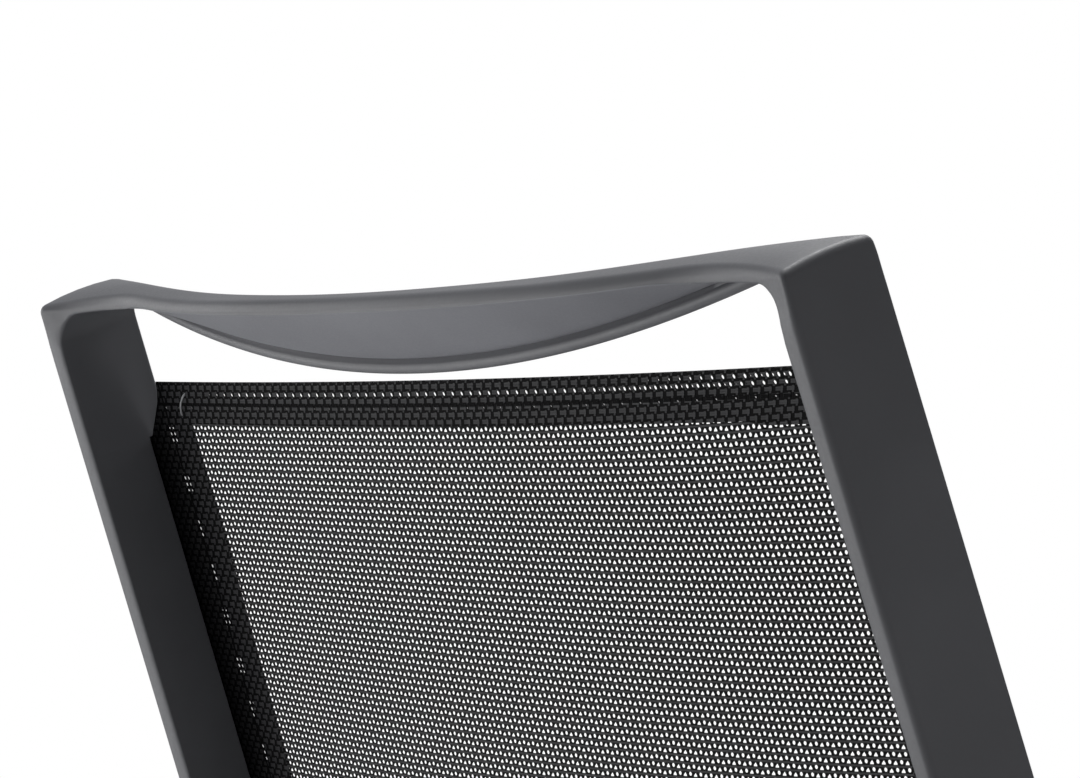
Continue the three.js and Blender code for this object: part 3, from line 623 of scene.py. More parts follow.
def needle_specks(tree, across, row_number, y):
    """A few needle holes show along the stitch line of the top hem."""
    pitch = add(tree, "Math", across, NEEDLE_PITCH, operation="DIVIDE")
    pitch = add(tree, "Math", pitch, operation="FRACT")
    off_hole = add(tree, "Math", pitch, 0.5, operation="SUBTRACT")
    stitched_row = add(tree, "Math", row_number, -3, 0.5, operation="COMPARE")
    return specks(tree, off_hole, y, 0.06, 0.16, 0.6, stitched_row)


def mesh_relief(tree, x, y):
    """Flat bands of weft lie between the rows of the mesh, and low crossings between its gaps."""
    from_row = add(tree, "Math", y, operation="ABSOLUTE")
    from_column = add(tree, "Math", x, operation="ABSOLUTE")
    band = add(tree, "MapRange", from_row, 0.26, 0.42, **SOFT)
    crossing = add(tree, "MapRange", from_column, 0.4, 0.5, 0, 0.25, **SOFT)
    return add(tree, "Math", band, crossing, operation="MAXIMUM")


def hem_relief(tree, column, row_number, y):
    """Floats two yarns high lie over most of two columns of the hem, with a stub down from each."""
    lean = add(tree, "Math", y, 0.35, operation="MULTIPLY")
    upright = add(tree, "Math", column, lean, operation="SUBTRACT")
    stepped = add(tree, "Math", upright, row_number, operation="ADD")
    half = add(tree, "Math", stepped, 0.5, operation="MULTIPLY")
    bay = add(tree, "Math", half, operation="FRACT")
    off_middle = add(tree, "Math", bay, 0.5, operation="SUBTRACT")
    float_end = add(tree, "Math", off_middle, operation="ABSOLUTE")
    off_row = add(tree, "Math", y, 0.1, operation="ADD")
    float_rim = add(tree, "Math", off_row, operation="ABSOLUTE")
    ends = add(tree, "MapRange", float_end, 0.38, 0.3, **SOFT)
    rims = add(tree, "MapRange", float_rim, 0.36, 0.26, **SOFT)
    floats = add(tree, "Math", ends, rims, operation="MULTIPLY")
    split = add(tree, "MapRange", float_rim, 0, 0.06, 0.3, 0, **SOFT)
    split = add(tree, "Math", floats, split, operation="MULTIPLY")
    floats = add(tree, "Math", floats, split, operation="SUBTRACT")
    off_stub = add(tree, "Math", bay, 0.3, operation="SUBTRACT")
    off_stub = add(tree, "Math", off_stub, operation="ABSOLUTE")
    stub = add(tree, "MapRange", off_stub, 0.13, 0.06, 0, 0.85, **SOFT)
    return add(tree, "Math", floats, stub, operation="MAXIMUM")


def sling_cloth():
    """Polyester yarn in a PVC coat, woven as an open leno and sewn double along its hems.

    It looks black with a dull sheen on the raised yarns, and the light behind it shows in each gap.
    The map "cloth" gives metres across and down the weave, and the map "edges" metres from the
    sheet's side and top edges.
    """
    material, tree = new_material("PVC-coated polyester mesh, black")
    cloth = add(tree, "UVMap", uv_map="cloth")
    weave = add(tree, "SeparateXYZ", cloth)
    edges = add(tree, "SeparateXYZ", add(tree, "UVMap", uv_map="edges"))
    across = add(tree, "Math", weave.outputs[0], MM, operation="DIVIDE")
    weft = add(tree, "Math", weave.outputs[1], MM, operation="DIVIDE")
    from_side = add(tree, "Math", edges.outputs[0], MM, operation="DIVIDE")
    from_top = add(tree, "Math", edges.outputs[1], MM, operation="DIVIDE")

    # The place in the weave: whole columns and rows of gaps, and x and y from the middle of each.
    column = add(tree, "Math", across, HOLE_PITCH, operation="DIVIDE")
    column = add(tree, "Math", column, COLUMN_OFFSET / HOLE_PITCH + 0.5, operation="ADD")
    row = add(tree, "Math", weft, ROW_PITCH, operation="DIVIDE")
    row = add(tree, "Math", row, 0.5 - FIRST_ROW / ROW_PITCH, operation="ADD")
    column_number = add(tree, "Math", column, operation="FLOOR")
    row_number = add(tree, "Math", row, operation="FLOOR")
    x = add(tree, "Math", column, operation="FRACT")
    x = add(tree, "Math", x, 0.5, operation="SUBTRACT")
    y = add(tree, "Math", row, operation="FRACT")
    y = add(tree, "Math", y, 0.5, operation="SUBTRACT")
    count = add(tree, "Math", column_number, row_number, operation="ADD")
    turn = add(tree, "Math", count, 1, operation="PINGPONG")

    # The cloth is double in the hems. The top hem's lower edge cuts across the rows at one end.
    in_side = add(tree, "MapRange", from_side, SIDE_HEM - 0.1, SIDE_HEM + 0.1, 1, 0, **SOFT)
    hem_edge = add(tree, "MapRange", across, -175, -190, TOP_HEM, TOP_HEM + 1.6, **SOFT)
    in_top = add(tree, "Math", from_top, hem_edge, operation="LESS_THAN")
    in_hem = add(tree, "Math", in_side, in_top, operation="MAXIMUM")

    top = top_hem_specks(tree, across, from_side, row_number, x, y, turn)
    seam = seam_specks(tree, from_side, from_top, x, y)
    needle = needle_specks(tree, across, row_number, y)
    hem_specks = add(tree, "Math", top, seam, operation="MAXIMUM")
    hem_specks = add(tree, "Math", hem_specks, needle, operation="MAXIMUM")
    see_through = add(tree, "Mix", in_hem, mesh_gaps(tree, x, y, turn), hem_specks)
    alpha = add(tree, "Math", 1, see_through, operation="SUBTRACT", use_clamp=True)

    # Yarns are about 0.4 mm thick, and the stitch lines pull the hems in.
    relief = add(
        tree, "Mix", in_hem, mesh_relief(tree, x, y), hem_relief(tree, column, row_number, y)
    )
    fibre = add(tree, "TexNoise", cloth, Scale=per_metre(0.4))
    fibre = add(tree, "Math", fibre, 0.25, operation="MULTIPLY")
    relief = add(tree, "Math", relief, fibre, operation="ADD")
    top_stitch = add(tree, "Math", from_top, TOP_STITCH, 0.7, operation="COMPARE")
    side_stitch = add(tree, "Math", from_side, SIDE_POCKET, 0.7, operation="COMPARE")
    stitch = add(tree, "Math", top_stitch, side_stitch, operation="MAXIMUM")
    stitch = add(tree, "Math", stitch, 0.8, operation="MULTIPLY")
    relief = add(tree, "Math", relief, stitch, operation="SUBTRACT")

    # Painted shade: the colour is darker where the relief is low, in the weave's hollows and along
    # the stitch lines, and darker still in the pocket round the rod, which lies in the rail's
    # shade.
    shade = add(tree, "MapRange", relief, 0.2, 1.1, **SOFT)
    pocket = add(tree, "MapRange", from_side, SIDE_POCKET - 1, SIDE_POCKET + 2, 0.25, 1, **SOFT)
    shade = add(tree, "Math", shade, pocket, operation="MULTIPLY")
    colour = add(tree, "Mix", shade, srgb("#060607"), srgb("#202023"), data_type="RGBA")
    shine = add(tree, "MapRange", relief, 0.5, 1.2, 0.02, 0.2, **SOFT)
    finish_surface(tree, colour, 0.55, relief, 0.0004, specular=shine, alpha=alpha)
    material.surface_render_method = "DITHERED"
    return material


COAT = powder_coat("powder-coated aluminium, anthracite", "#5e5f63")
# Painted light: the panel has the frame's anthracite coat, but its colour is set lighter to stand
# in for light from below and behind that the lamps don't give.
PANEL_COAT_PAINTED_LIGHTER = powder_coat("powder-coated pressed panel, anthracite, painted lighter", "#7f8086", grain=0.8)
NYLON = moulded("moulded nylon, black", "#26272a", 0.7)
PAD = moulded("moulded arm pad, charcoal", "#414347", 1.1, roughness=0.62)
ROD = moulded("extruded PVC keder, black", "#1c1d1f", 1.5, roughness=0.5)
STEEL = blackened_steel("black zinc-plated steel", "#2f3135")
MESH = sling_cloth()
THREAD = twisted_thread("polyester sewing thread, grey", "#a6a7aa")

# Crest, from the middle of the chair round the corner and down to the top of the grooves

CREST_HALF = TOP_WIDTH / 2 - RAIL_THICKNESS
FILLET_AT = CREST_HALF - CREST_FILLET
FILLET_DOWN = CREST_THICKNESS + CREST_FILLET
CORNER_REACH = TOP_WIDTH / 2 - FILLET_AT


def blended_lower(a, b, blend):
    """The lower of two values, rounded off where they are nearly the same."""
    share = max(blend - abs(a - b), 0) / blend
    return min(a, b) - share * share * blend / 4


def crest_rear(across):
    """Rear edge of the crest. It bows back between the rails and runs out over the corners."""
    share = min(across / CREST_HALF, 1)
    bow = -CREST_REAR_BOW + CREST_REAR_SWEEP * share**CREST_REAR_BEND
    past = max(across - TOP_WIDTH / 2 + CREST_SHOULDER_REACH, 0) / CREST_SHOULDER_REACH
    return blended_lower(bow, CREST_SHOULDER * (1 - past**2), CREST_REAR_BLEND)


def rear_at(across, down):
    """Rear surface round the corner, where the crest's edge fades into the rail's flat rear."""
    edge = max(crest_rear(min(across, TOP_WIDTH / 2)), -CREST_REAR_BOW)
    return edge * (1 - smooth(down, *REAR_FADES))


def crest_front(across):
    share = min(across / CREST_HALF, 1)
    return CREST_FRONT_MIDDLE + (RAIL_DEPTH - CREST_FRONT_MIDDLE) * share**CREST_FRONT_BEND


def crest_under(across):
    """Depth of the lip's underside, which thickens towards the corners."""
    return mixed(CREST_LIP, CREST_THICKNESS, smooth(across, *LIP_THICKENS))


def blade_edge(across):
    """Middle of the bead along the blade, as forwards and down. Past its ends it is the lip's."""
    share = min(across / CREST_HALF, 1)
    down = BLADE_DROP - BLADE_RISE * share**2
    forwards = BLADE_FORWARD + BLADE_SWEEP * share**2
    forwards = mixed(forwards, crest_front(across) - BEAD_DEEP, smooth(share, *BLADE_ENDS))
    return forwards, max(down, crest_under(across))


def dome(across, forwards, down):
    """Rise of the slightly crowned top over a flat one."""
    along = min(max(forwards / RAIL_DEPTH, 0), 1)
    at_rail = RAIL_DOME_TILT * along + 4 * RAIL_DOME * along * (1 - along)
    rise = mixed(CREST_DOME, at_rail, smooth(across, *ENDS_GROW))
    rise *= 1 - OUTER_FADE * smooth(across, *OUTER_FADES)
    rear = forwards - crest_rear(min(across, TOP_WIDTH / 2))
    eased = smooth(across, *EASE_GROWS) * (1 - smooth(across, *EASE_ENDS))
    rise -= REAR_EASE * eased * (1 - smooth(rear, 0, EASE_WIDTH))
    return rise * (1 - smooth(down, 0, DOME_DEPTH))


def band_section(spot, under, edge, radii):
    """A section of the crest or rail as (forwards, depth), from the rear over the outside and back.

    Spot turns a depth from the outer face into where the point lies, as across and down.
    """
    rear_radius, front_radius, lower_radius, inner_front = radii
    edge_forwards, edge_down = edge
    front = crest_front(spot(0)[0])
    bead = smooth(edge_down - under, 0, BEAD_HEIGHT)
    points = []
    for angle in steps(0, 90, 10):
        depth = rear_radius * (1 - sine(angle))
        points.append((rear_at(*spot(depth)) + rear_radius * (1 - cosine(angle)), depth))
    rear = points[-1][0]
    points += [(mixed(rear, front - front_radius, share), 0) for share in (0.25, 0.5, 0.75)]
    points += [
        (front - front_radius * (1 - sine(angle)), front_radius * (1 - cosine(angle)))
        for angle in steps(0, 90, 8)
    ]

    # Down the front and round the bead. Where there is no bead, it is the plain front edge.
    deep, tall = mixed(inner_front, BEAD_DEEP, bead), mixed(inner_front, BEAD_TALL, bead)
    middle = mixed(front - inner_front, edge_forwards, bead)
    height = mixed(under - inner_front, edge_down - BEAD_TALL, bead)
    top = points[-1]
    points += [
        (mixed(top[0], middle + deep, share), mixed(top[1], height, share))
        for share in (0.3, 0.65)
    ]
    points += [
        (middle + deep * cosine(angle), height + tall * sine(angle))
        for angle in steps(0, 90 + BEAD_FOOT * bead, 15)
    ]

    # Back to the lip, with a pocket for the panel, and round the lip's or the rail's inner edge.
    foot = points[-1]
    sink = min(lower_radius, RAIL_INNER_SINK)
    run = (rear_at(*spot(under)) + sink - foot[0], under - foot[1])
    length = math.hypot(*run)
    inward = (-run[1] / length, run[0] / length)
    pocket = PANEL_POCKET * smooth(edge_down - under - BEAD_HEIGHT, *POCKET_DEEPENS)
    for share, deep in ((0.02, pocket), (0.34, pocket), (0.66, pocket), (1, pocket), (1, 0)):
        points.append(
            (
                foot[0] + run[0] * share + inward[0] * deep,
                foot[1] + run[1] * share + inward[1] * deep,
            )
        )
    for angle in steps(12, 90, 6):
        depth = under - lower_radius * (1 - cosine(angle))
        points.append((rear_at(*spot(depth)) + sink * (1 - sine(angle)), depth))
    return points


def corner_distance(turn):
    """From the fillet's centre to the outer face round the corner, over the top at 0 degrees."""
    across, down = CORNER_REACH - CORNER_EDGE, FILLET_DOWN - CORNER_EDGE
    along = across * sine(turn) + down * cosine(turn)
    off = across * cosine(turn) - down * sine(turn)
    if abs(off) < CORNER_EDGE:
        rounded = along + math.sqrt(CORNER_EDGE**2 - off**2)
        if rounded * sine(turn) > across and rounded * cosine(turn) > down:
            return rounded
    over_top = FILLET_DOWN / max(cosine(turn), 1e-6)
    return min(over_top, CORNER_REACH / max(sine(turn), 1e-6))


def crest_sections(sign):
    """Sections from the middle of the crest, round one corner, to where the groove starts."""
    sections = []

    def place(spot, under, edge, radii):
        ring = []
        for forwards, depth in band_section(spot, under, edge, radii):
            across, down = spot(depth)
            ring.append(back_point(sign * across, forwards, down - dome(across, forwards, down)))
        sections.append(ring)

    for across in [FILLET_AT * share for share in steps(0, 1, 100)]:
        grown = smooth(across, *ENDS_GROW)
        radii = (
            mixed(CREST_REAR_RADIUS, REAR_END_RADIUS, grown),
            mixed(CREST_FRONT_RADIUS, FRONT_END_RADIUS, grown),
            mixed(LIP_EDGE, LIP_END_EDGE, smooth(across, *LIP_EDGE_GROWS)),
            RAIL_FRONT_EDGE,
        )

        def spot(depth, across=across):
            return across, depth

        place(spot, crest_under(across), blade_edge(across), radii)

    for turn in steps(0, 90, 60)[1:]:
        reach = corner_distance(turn)

        def spot(depth, reach=reach, turn=turn):
            down = FILLET_DOWN - (reach - depth) * cosine(turn)
            splay = RAIL_SPLAY * max(down, 0) * turn / 90
            return FILLET_AT + (reach - depth) * sine(turn) + splay, down

        side = smooth(turn, *CORNER_TURNS)
        radii = (
            mixed(REAR_END_RADIUS, RAIL_REAR_EDGE, side),
            mixed(FRONT_END_RADIUS, RAIL_FRONT_EDGE, side),
            mixed(LIP_END_EDGE, RAIL_INNER_EDGE, smooth(turn, CORNER_TURNS[0], 90)),
            RAIL_FRONT_EDGE,
        )
        thickness = reach - CREST_FILLET
        place(spot, thickness, (RAIL_DEPTH, thickness), radii)

    radii = (RAIL_REAR_EDGE, RAIL_FRONT_EDGE, RAIL_INNER_EDGE, RAIL_FRONT_EDGE)
    for along in steps(FILLET_DOWN, GROOVE_TOP, 8)[1:]:

        def spot(depth, along=along):
            return rail_half(along) - depth, along

        place(spot, RAIL_THICKNESS, (RAIL_DEPTH, RAIL_THICKNESS), radii)
    return sections


def make_crest():
    mesh = bmesh.new()
    right = crest_sections(-1)
    loft(mesh, right[:0:-1] + crest_sections(1))
    finished("crest_bar_skin", mesh, COAT, ["crest_bar"], sharp=38)


def panel_ring(across, narrowing):
    """Section of the panel as forwards and down. Narrowing is 1 along it and 0 at its ends."""
    edge_forwards, edge_down = blade_edge(across)
    foot_turn = 90 + BEAD_FOOT
    foot = Vector((edge_forwards, edge_down - BEAD_TALL))
    foot += Vector((BEAD_DEEP * cosine(foot_turn), BEAD_TALL * sine(foot_turn)))
    top = Vector((crest_rear(across) + PANEL_BEHIND_LIP, crest_under(across)))
    run = foot - top
    slope = run.normalized()
    inward = Vector((slope.y, -slope.x))
    upper = top + slope * PANEL_GAP + inward * PANEL_SINK
    lower = foot - slope * PANEL_GAP + inward * PANEL_CREASE
    middle = (upper + lower) / 2
    full = mixed(PANEL_END, 1, narrowing)
    upper, lower = middle.lerp(upper, full), middle.lerp(lower, full)
    bulge = PANEL_BULGE * smooth(run.length, *BULGE_GROWS)

    # Both edges are rolled in, the lower one more.
    length = max(run.length, PANEL_LEAST_RUN)
    near = [distance / length for distance in PANEL_ROLL_PLACES]
    ring = []
    for share in near + steps(near[-1], 1 - near[-1], 6)[1:-1] + [1 - n for n in reversed(near)]:
        roll = PANEL_ROLL / 2 * (1 - smooth(share * length, 0, UPPER_ROLL_WIDTH))
        roll += PANEL_ROLL * (1 - smooth((1 - share) * length, 0, PANEL_ROLL_PLACES[-1]))
        depth = roll * narrowing - bulge * math.sin(math.pi * share)
        ring.append(upper.lerp(lower, share) + inward * depth)
    behind = inward * (PANEL_ROLL + PANEL_THICKNESS) * full
    return ring + [lower + behind, upper + behind]


def make_panel():
    """Pressed panel that closes the crest's rear, set in under the lip and behind the bead."""
    mesh = bmesh.new()
    sections = []
    for share in steps(-PANEL_SPAN, PANEL_SPAN, 140):
        narrowing = smooth(PANEL_SPAN - abs(share), *PANEL_ENDS)
        ring = panel_ring(abs(share) * CREST_HALF, narrowing)
        sections.append([back_point(share * CREST_HALF, p.x, p.y) for p in ring])
    loft(mesh, sections)
    replaced = ["crest_rear_panel"]
    finished("crest_panel_skin", mesh, PANEL_COAT_PAINTED_LIGHTER, replaced, sharp=30)


def groove_rail_section():
    """Section of a rail as (inwards, forwards), from the slot for the sling's edge round it."""
    slot_low, slot_high = GROOVE_FROM_REAR - GROOVE_SLOT / 2, GROOVE_FROM_REAR + GROOVE_SLOT / 2
    floor = RAIL_THICKNESS - GROOVE_DEPTH
    section = [
        (RAIL_THICKNESS, slot_low - GROOVE_BREAK),
        (RAIL_THICKNESS - GROOVE_BREAK, slot_low),
        (floor, slot_low),
        (floor, slot_high),
        (RAIL_THICKNESS - GROOVE_BREAK, slot_high),
        (RAIL_THICKNESS, slot_high + GROOVE_BREAK),
    ]
    edge = RAIL_FRONT_EDGE
    section += arc(RAIL_THICKNESS - edge, RAIL_DEPTH - edge, edge, 0, 90, 6)
    section += arc(edge, RAIL_DEPTH - edge, edge, 90, 180, 6)
    section += arc(RAIL_REAR_EDGE, RAIL_REAR_EDGE, RAIL_REAR_EDGE, 180, 270, 8)
    for angle in steps(0, 90, 8):
        inwards = RAIL_THICKNESS - RAIL_INNER_EDGE * (1 - sine(angle))
        section.append((inwards, RAIL_INNER_SINK * (1 - cosine(angle))))
    return section


def make_rail(name, sign):
    mesh = bmesh.new()
    section = groove_rail_section()
    distances = (
        [GROOVE_TOP, SLING_TOP + 60, SLING_TOP + 200]
        + steps(BACK_END, BEND_END, 36)
        + steps(BEND_END, KNEE_START, 2)[1:-1]
        + steps(KNEE_START, KNEE_END, 18)
        + [RAIL_END]
    )
    loft(mesh, [[rail_point(sign, d, inwards, f) for inwards, f in section] for d in distances])
    replaced = ["side_rail_" + name]
    finished("side_rail_skin_" + name, mesh, COAT, replaced, sharp=38)


# Sling


def sling_sag(distance):
    """How far the middle of the sheet lies behind its edges, or under them on the seat."""
    places = [
        (SLING_TOP + SLING_TAUT_RUN, 0),
        ((SLING_TOP + BACK_END) / 2, SAG_BACK),
        ((BACK_END + BEND_END) / 2, SAG_BEND),
        ((BEND_END + KNEE_START) / 2, SAG_SEAT),
        (KNEE_START, SAG_KNEE),
        (RAIL_END, 0),
    ]
    for (low, shallow), (high, deep) in zip(places, places[1:]):
        if distance <= high:
            return mixed(shallow, deep, smooth(distance, low, high))
    return 0


def row_skew(across, distance):
    """The rows run a little down to one side on the back, where the sheet was pulled in askew."""
    skew = SKEW * across / 100 - SKEW_BOW * (across / 100) ** 2
    return skew * (1 - smooth(distance, BACK_RUN / 2, BACK_RUN))


def weave_drift(across, down):
    """How far the rows of the weave wander from straight ones, below the top edge."""
    terms = (amount * (across / 100) ** power for power, amount in enumerate(WEAVE_DRIFT, 1))
    return sum(terms) * smooth(down, 2, TOP_HEM + 1)


def cloth_share(from_side, down):
    """Thickness of the sheet as a share of the hem's, drawn in by the stitches and at the top."""
    if from_side > SIDE_HEM and down >= TOP_HEM - 0.3:
        return MESH_THICKNESS / HEM_THICKNESS
    stitched = abs(from_side - SIDE_POCKET) < 0.1 or abs(down - TOP_STITCH) < 0.1
    end = 0.35 if down < 0.2 else 0.8 if down < 0.8 else 1
    return (STITCHED_THICKNESS if stitched else 1.0) * end


def make_sling():
    """One sheet between the grooves, twice as thick in its hems, mapped in metres of cloth."""
    reach = RAIL_THICKNESS - SLING_IN_GROOVE
    length = RAIL_END - SLING_END_INSET - SLING_TOP
    downs = [0, 0.5, 1.2, 4, 7, TOP_STITCH - 0.6, TOP_STITCH, TOP_STITCH + 0.6]
    downs += [TOP_HEM - 0.6, TOP_HEM] + steps(TOP_HEM + 0.7, length, 130)
    edge_steps = [0, 3, 8, 16, SIDE_POCKET - 0.6, SIDE_POCKET, SIDE_POCKET + 0.6, 35]
    edge_steps += [SIDE_HEM - 0.5, SIDE_HEM]
    inner_steps = 30
    columns = 2 * len(edge_steps) + inner_steps - 1
    mesh = bmesh.new()
    cloth = mesh.loops.layers.uv.new("cloth")
    edge_map = mesh.loops.layers.uv.new("edges")
    thick = mesh.verts.layers.deform.verify()
    grid = bmesh.ops.create_grid(
        mesh, x_segments=columns - 1, y_segments=len(downs) - 1, size=1
    )["verts"]
    places = {}
    for index, vertex in enumerate(grid):
        down = downs[index // columns]
        column = index % columns
        distance = SLING_TOP + down
        half = rail_half(distance) - reach
        from_edge = min(column, columns - 1 - column)
        if from_edge < len(edge_steps):
            # The top corners are cut back, so that they clear the grooves' ends.
            step = edge_steps[from_edge]
            cut = CORNER_CUT * (1 - smooth(down, 0, CORNER_CUT_LENGTH))
            inset = max(step, cut + step * (1 - cut / SIDE_POCKET))
            across = half - inset if column > from_edge else inset - half
        else:
            share = (column - len(edge_steps)) / (inner_steps - 2)
            across = mixed(-half + SIDE_HEM + 0.5, half - SIDE_HEM - 0.5, share)
        from_side = half - abs(across)
        forwards = GROOVE_FROM_REAR - sling_sag(distance) * (1 - (across / half) ** 2)
        vertex.co = rail_point(1, distance + row_skew(across, distance), 0, forwards)
        vertex.co.x = across
        vertex[thick][0] = cloth_share(from_side, down)
        weft = down - weave_drift(across, down)
        places[vertex] = (across * MM, weft * MM), (from_side * MM, down * MM)
    for face in mesh.faces:
        for loop in face.loops:
            loop[cloth].uv, loop[edge_map].uv = places[loop.vert]
    sling = finished("sling_cloth", mesh, MESH, ["sling"])
    sling.vertex_groups.new(name="hem")
    double = sling.modifiers.new("double cloth", "SOLIDIFY")
    double.thickness = HEM_THICKNESS * MM
    double.offset = 0
    double.vertex_group = "hem"

    width = 2 * (rail_half(BACK_RUN) - reach)
    top_width = 2 * (rail_half(SLING_TOP) - reach)
    area = (width + top_width) / 2 * (BACK_RUN - SLING_TOP)
    area += width * (length - BACK_RUN + SLING_TOP) - CORNER_CUT * CORNER_CUT_LENGTH


def make_thread_end():
    """The bent end of the hem's sewing thread, which stands out at the sheet's left corner."""
    mesh = bmesh.new()
    route = []
    for share in steps(0, 1, 16):
        inset = THREAD_INSET + THREAD_BEND * (1 - share) ** 2.4
        distance = SLING_TOP + THREAD_TOP + THREAD_LENGTH * share
        route.append(rail_point(1, distance, inset, GROOVE_FROM_REAR - THREAD_PROUD))
    sections = []
    for index, spot in enumerate(route):
        ahead = (route[min(index + 1, len(route) - 1)] - route[max(index - 1, 0)]).normalized()
        aside = ahead.cross(Vector((0, -1, 0))).normalized()
        up = ahead.cross(aside)
        radius = THREAD_RADIUS * (0.5 if index in (0, len(route) - 1) else 1)
        section = arc(0, 0, radius, 0, 300, 5)
        sections.append([spot + aside * wide + up * high for wide, high in section])
    loft(mesh, sections)
    finished("thread_end", mesh, THREAD)


# Side hoops, pads, spreaders and fasteners


def make_hoop(name, sign):
    """Flat tube bent to a front leg, an arm and a rear leg, cut level over both glides."""
    mesh = bmesh.new()
    half = HOOP_DEPTH / 2
    section = rounded_box(0, -half, HOOP_THICKNESS, half, HOOP_EDGE, 6)
    _, front_top, arm_start, arm_end, rear_top, end = hoop_path.marks
    rings = []
    for distance in [0] + steps(front_top, arm_start, 24) + steps(arm_end, rear_top, 24) + [end]:
        y, z, normal_y, normal_z = hoop_path.at(distance)
        ring = []
        for out, inside in section:
            across = sign * (HOOP_INNER + out)
            point = Vector((across, y + normal_y * inside, z + normal_z * inside))
            if distance in (0, end):
                slide = (GLIDE_HEIGHT - point.z) / normal_y
                point += Vector((0, -normal_z, normal_y)) * slide
            ring.append(point)
        rings.append(ring)
    loft(mesh, rings)
    replaced = ["side_hoop_" + name]
    finished("side_hoop_skin_" + name, mesh, COAT, replaced, sharp=38)


PAD_MIDDLE = front_corner + front_tangent + PAD_OFFSET + PAD_LENGTH / 2


def make_pad(name, sign):
    """Pad that sits over the arm, crowned, with drawn-in ends and a shallow line round it."""
    mesh = bmesh.new()
    rings = []
    channel = HOOP_THICKNESS / 2 + FIT_GAP
    for turn in steps(-90, 90, 64):
        along = sine(turn) * PAD_LENGTH / 2
        into_end = max(abs(along) - (PAD_LENGTH / 2 - PAD_ROUND_END), 0) / PAD_ROUND_END
        full = math.sqrt(max(1 - into_end**2.4, 0))
        half = PAD_WIDTH / 2 * mixed(PAD_END_WIDTH, 1, full)
        top = PAD_THICKNESS * mixed(PAD_END_THICKNESS, 1, full)
        low = -PAD_SKIRT * mixed(PAD_END_SKIRT, 1, full)
        line_low, line_middle, line_high = PAD_LINE
        profile = [(channel, low)]
        profile += arc(half - PAD_EDGE, low + PAD_EDGE, PAD_EDGE, -90, 0, 5)
        profile += [(half, line_low), (half - PAD_LINE_DEPTH, line_middle), (half, line_high)]
        for angle in steps(6, 90, 10):
            crown = (top - PAD_SHOULDER) * sine(angle) ** 0.8
            profile.append((half * cosine(angle) ** 0.42, PAD_SHOULDER + crown))
        profile += [(-x, z) for x, z in reversed(profile[:-1])]
        profile += [(-channel, FIT_GAP), (channel, FIT_GAP)]
        middle = Vector((sign * HOOP_MIDDLE, PAD_MIDDLE + along, ARM_HEIGHT))
        rings.append([middle + Vector((x, 0, z)) for x, z in profile])
    loft(mesh, rings)
    finished("arm_pad_skin_" + name, mesh, PAD, ["arm_pad_" + name], sharp=50)


def bore_point(distance):
    """Y and z of the middle of the rails' chamber, where the bolts and spreaders sit."""
    y, z, normal_y, normal_z = rail_path.at(distance)
    return y + normal_y * CHAMBER_CENTRE, z + normal_z * CHAMBER_CENTRE


def make_spreader(name, at):
    """Round tube that bows away from the sling and meets both rails square."""
    mesh = bmesh.new()
    y, z = bore_point(at)
    _, _, normal_y, normal_z = rail_path.at(at)
    half = rail_half(at) - RAIL_THICKNESS - FIT_GAP
    if at < BACK_END:
        half -= SPREADER_DIAMETER / 2 * RAIL_SPLAY
    rings = []
    for across in steps(-half, half, 48):
        fall = SPREADER_BOW * (1 + math.cos(math.pi * across / half)) / 2
        slope = SPREADER_BOW * math.pi / half * math.sin(math.pi * across / half) / 2
        steep = math.hypot(1, slope)
        ring = []
        for side, out in arc(0, 0, SPREADER_DIAMETER / 2, 0, 345, 23):
            x = across - out * slope / steep
            rise = -fall + out / steep
            point_y = y + normal_y * rise + normal_z * side
            ring.append((x, point_y, z + normal_z * rise - normal_y * side))
        rings.append(ring)
    loft(mesh, rings)
    title = name + "_spreader"
    finished(title + "_skin", mesh, COAT, [title], sharp=38)


def quarter_turn(mesh, verts):
    """Turns a piece from the Z axis, where it was made, on to the X axis."""
    turn = Matrix.Rotation(math.radians(90), 3, "Y")
    bmesh.ops.rotate(mesh, verts=verts, cent=(0, 0, 0), matrix=turn)


def prism(mesh, sides, radius, start, end, y, z):
    """A plain prism or shank along X, from its start to its end."""
    verts = bmesh.ops.create_cone(
        mesh, cap_ends=True, segments=sides, radius1=radius, radius2=radius, depth=abs(end - start)
    )["verts"]
    quarter_turn(mesh, verts)
    bmesh.ops.translate(mesh, verts=verts, vec=((start + end) / 2, y, z))


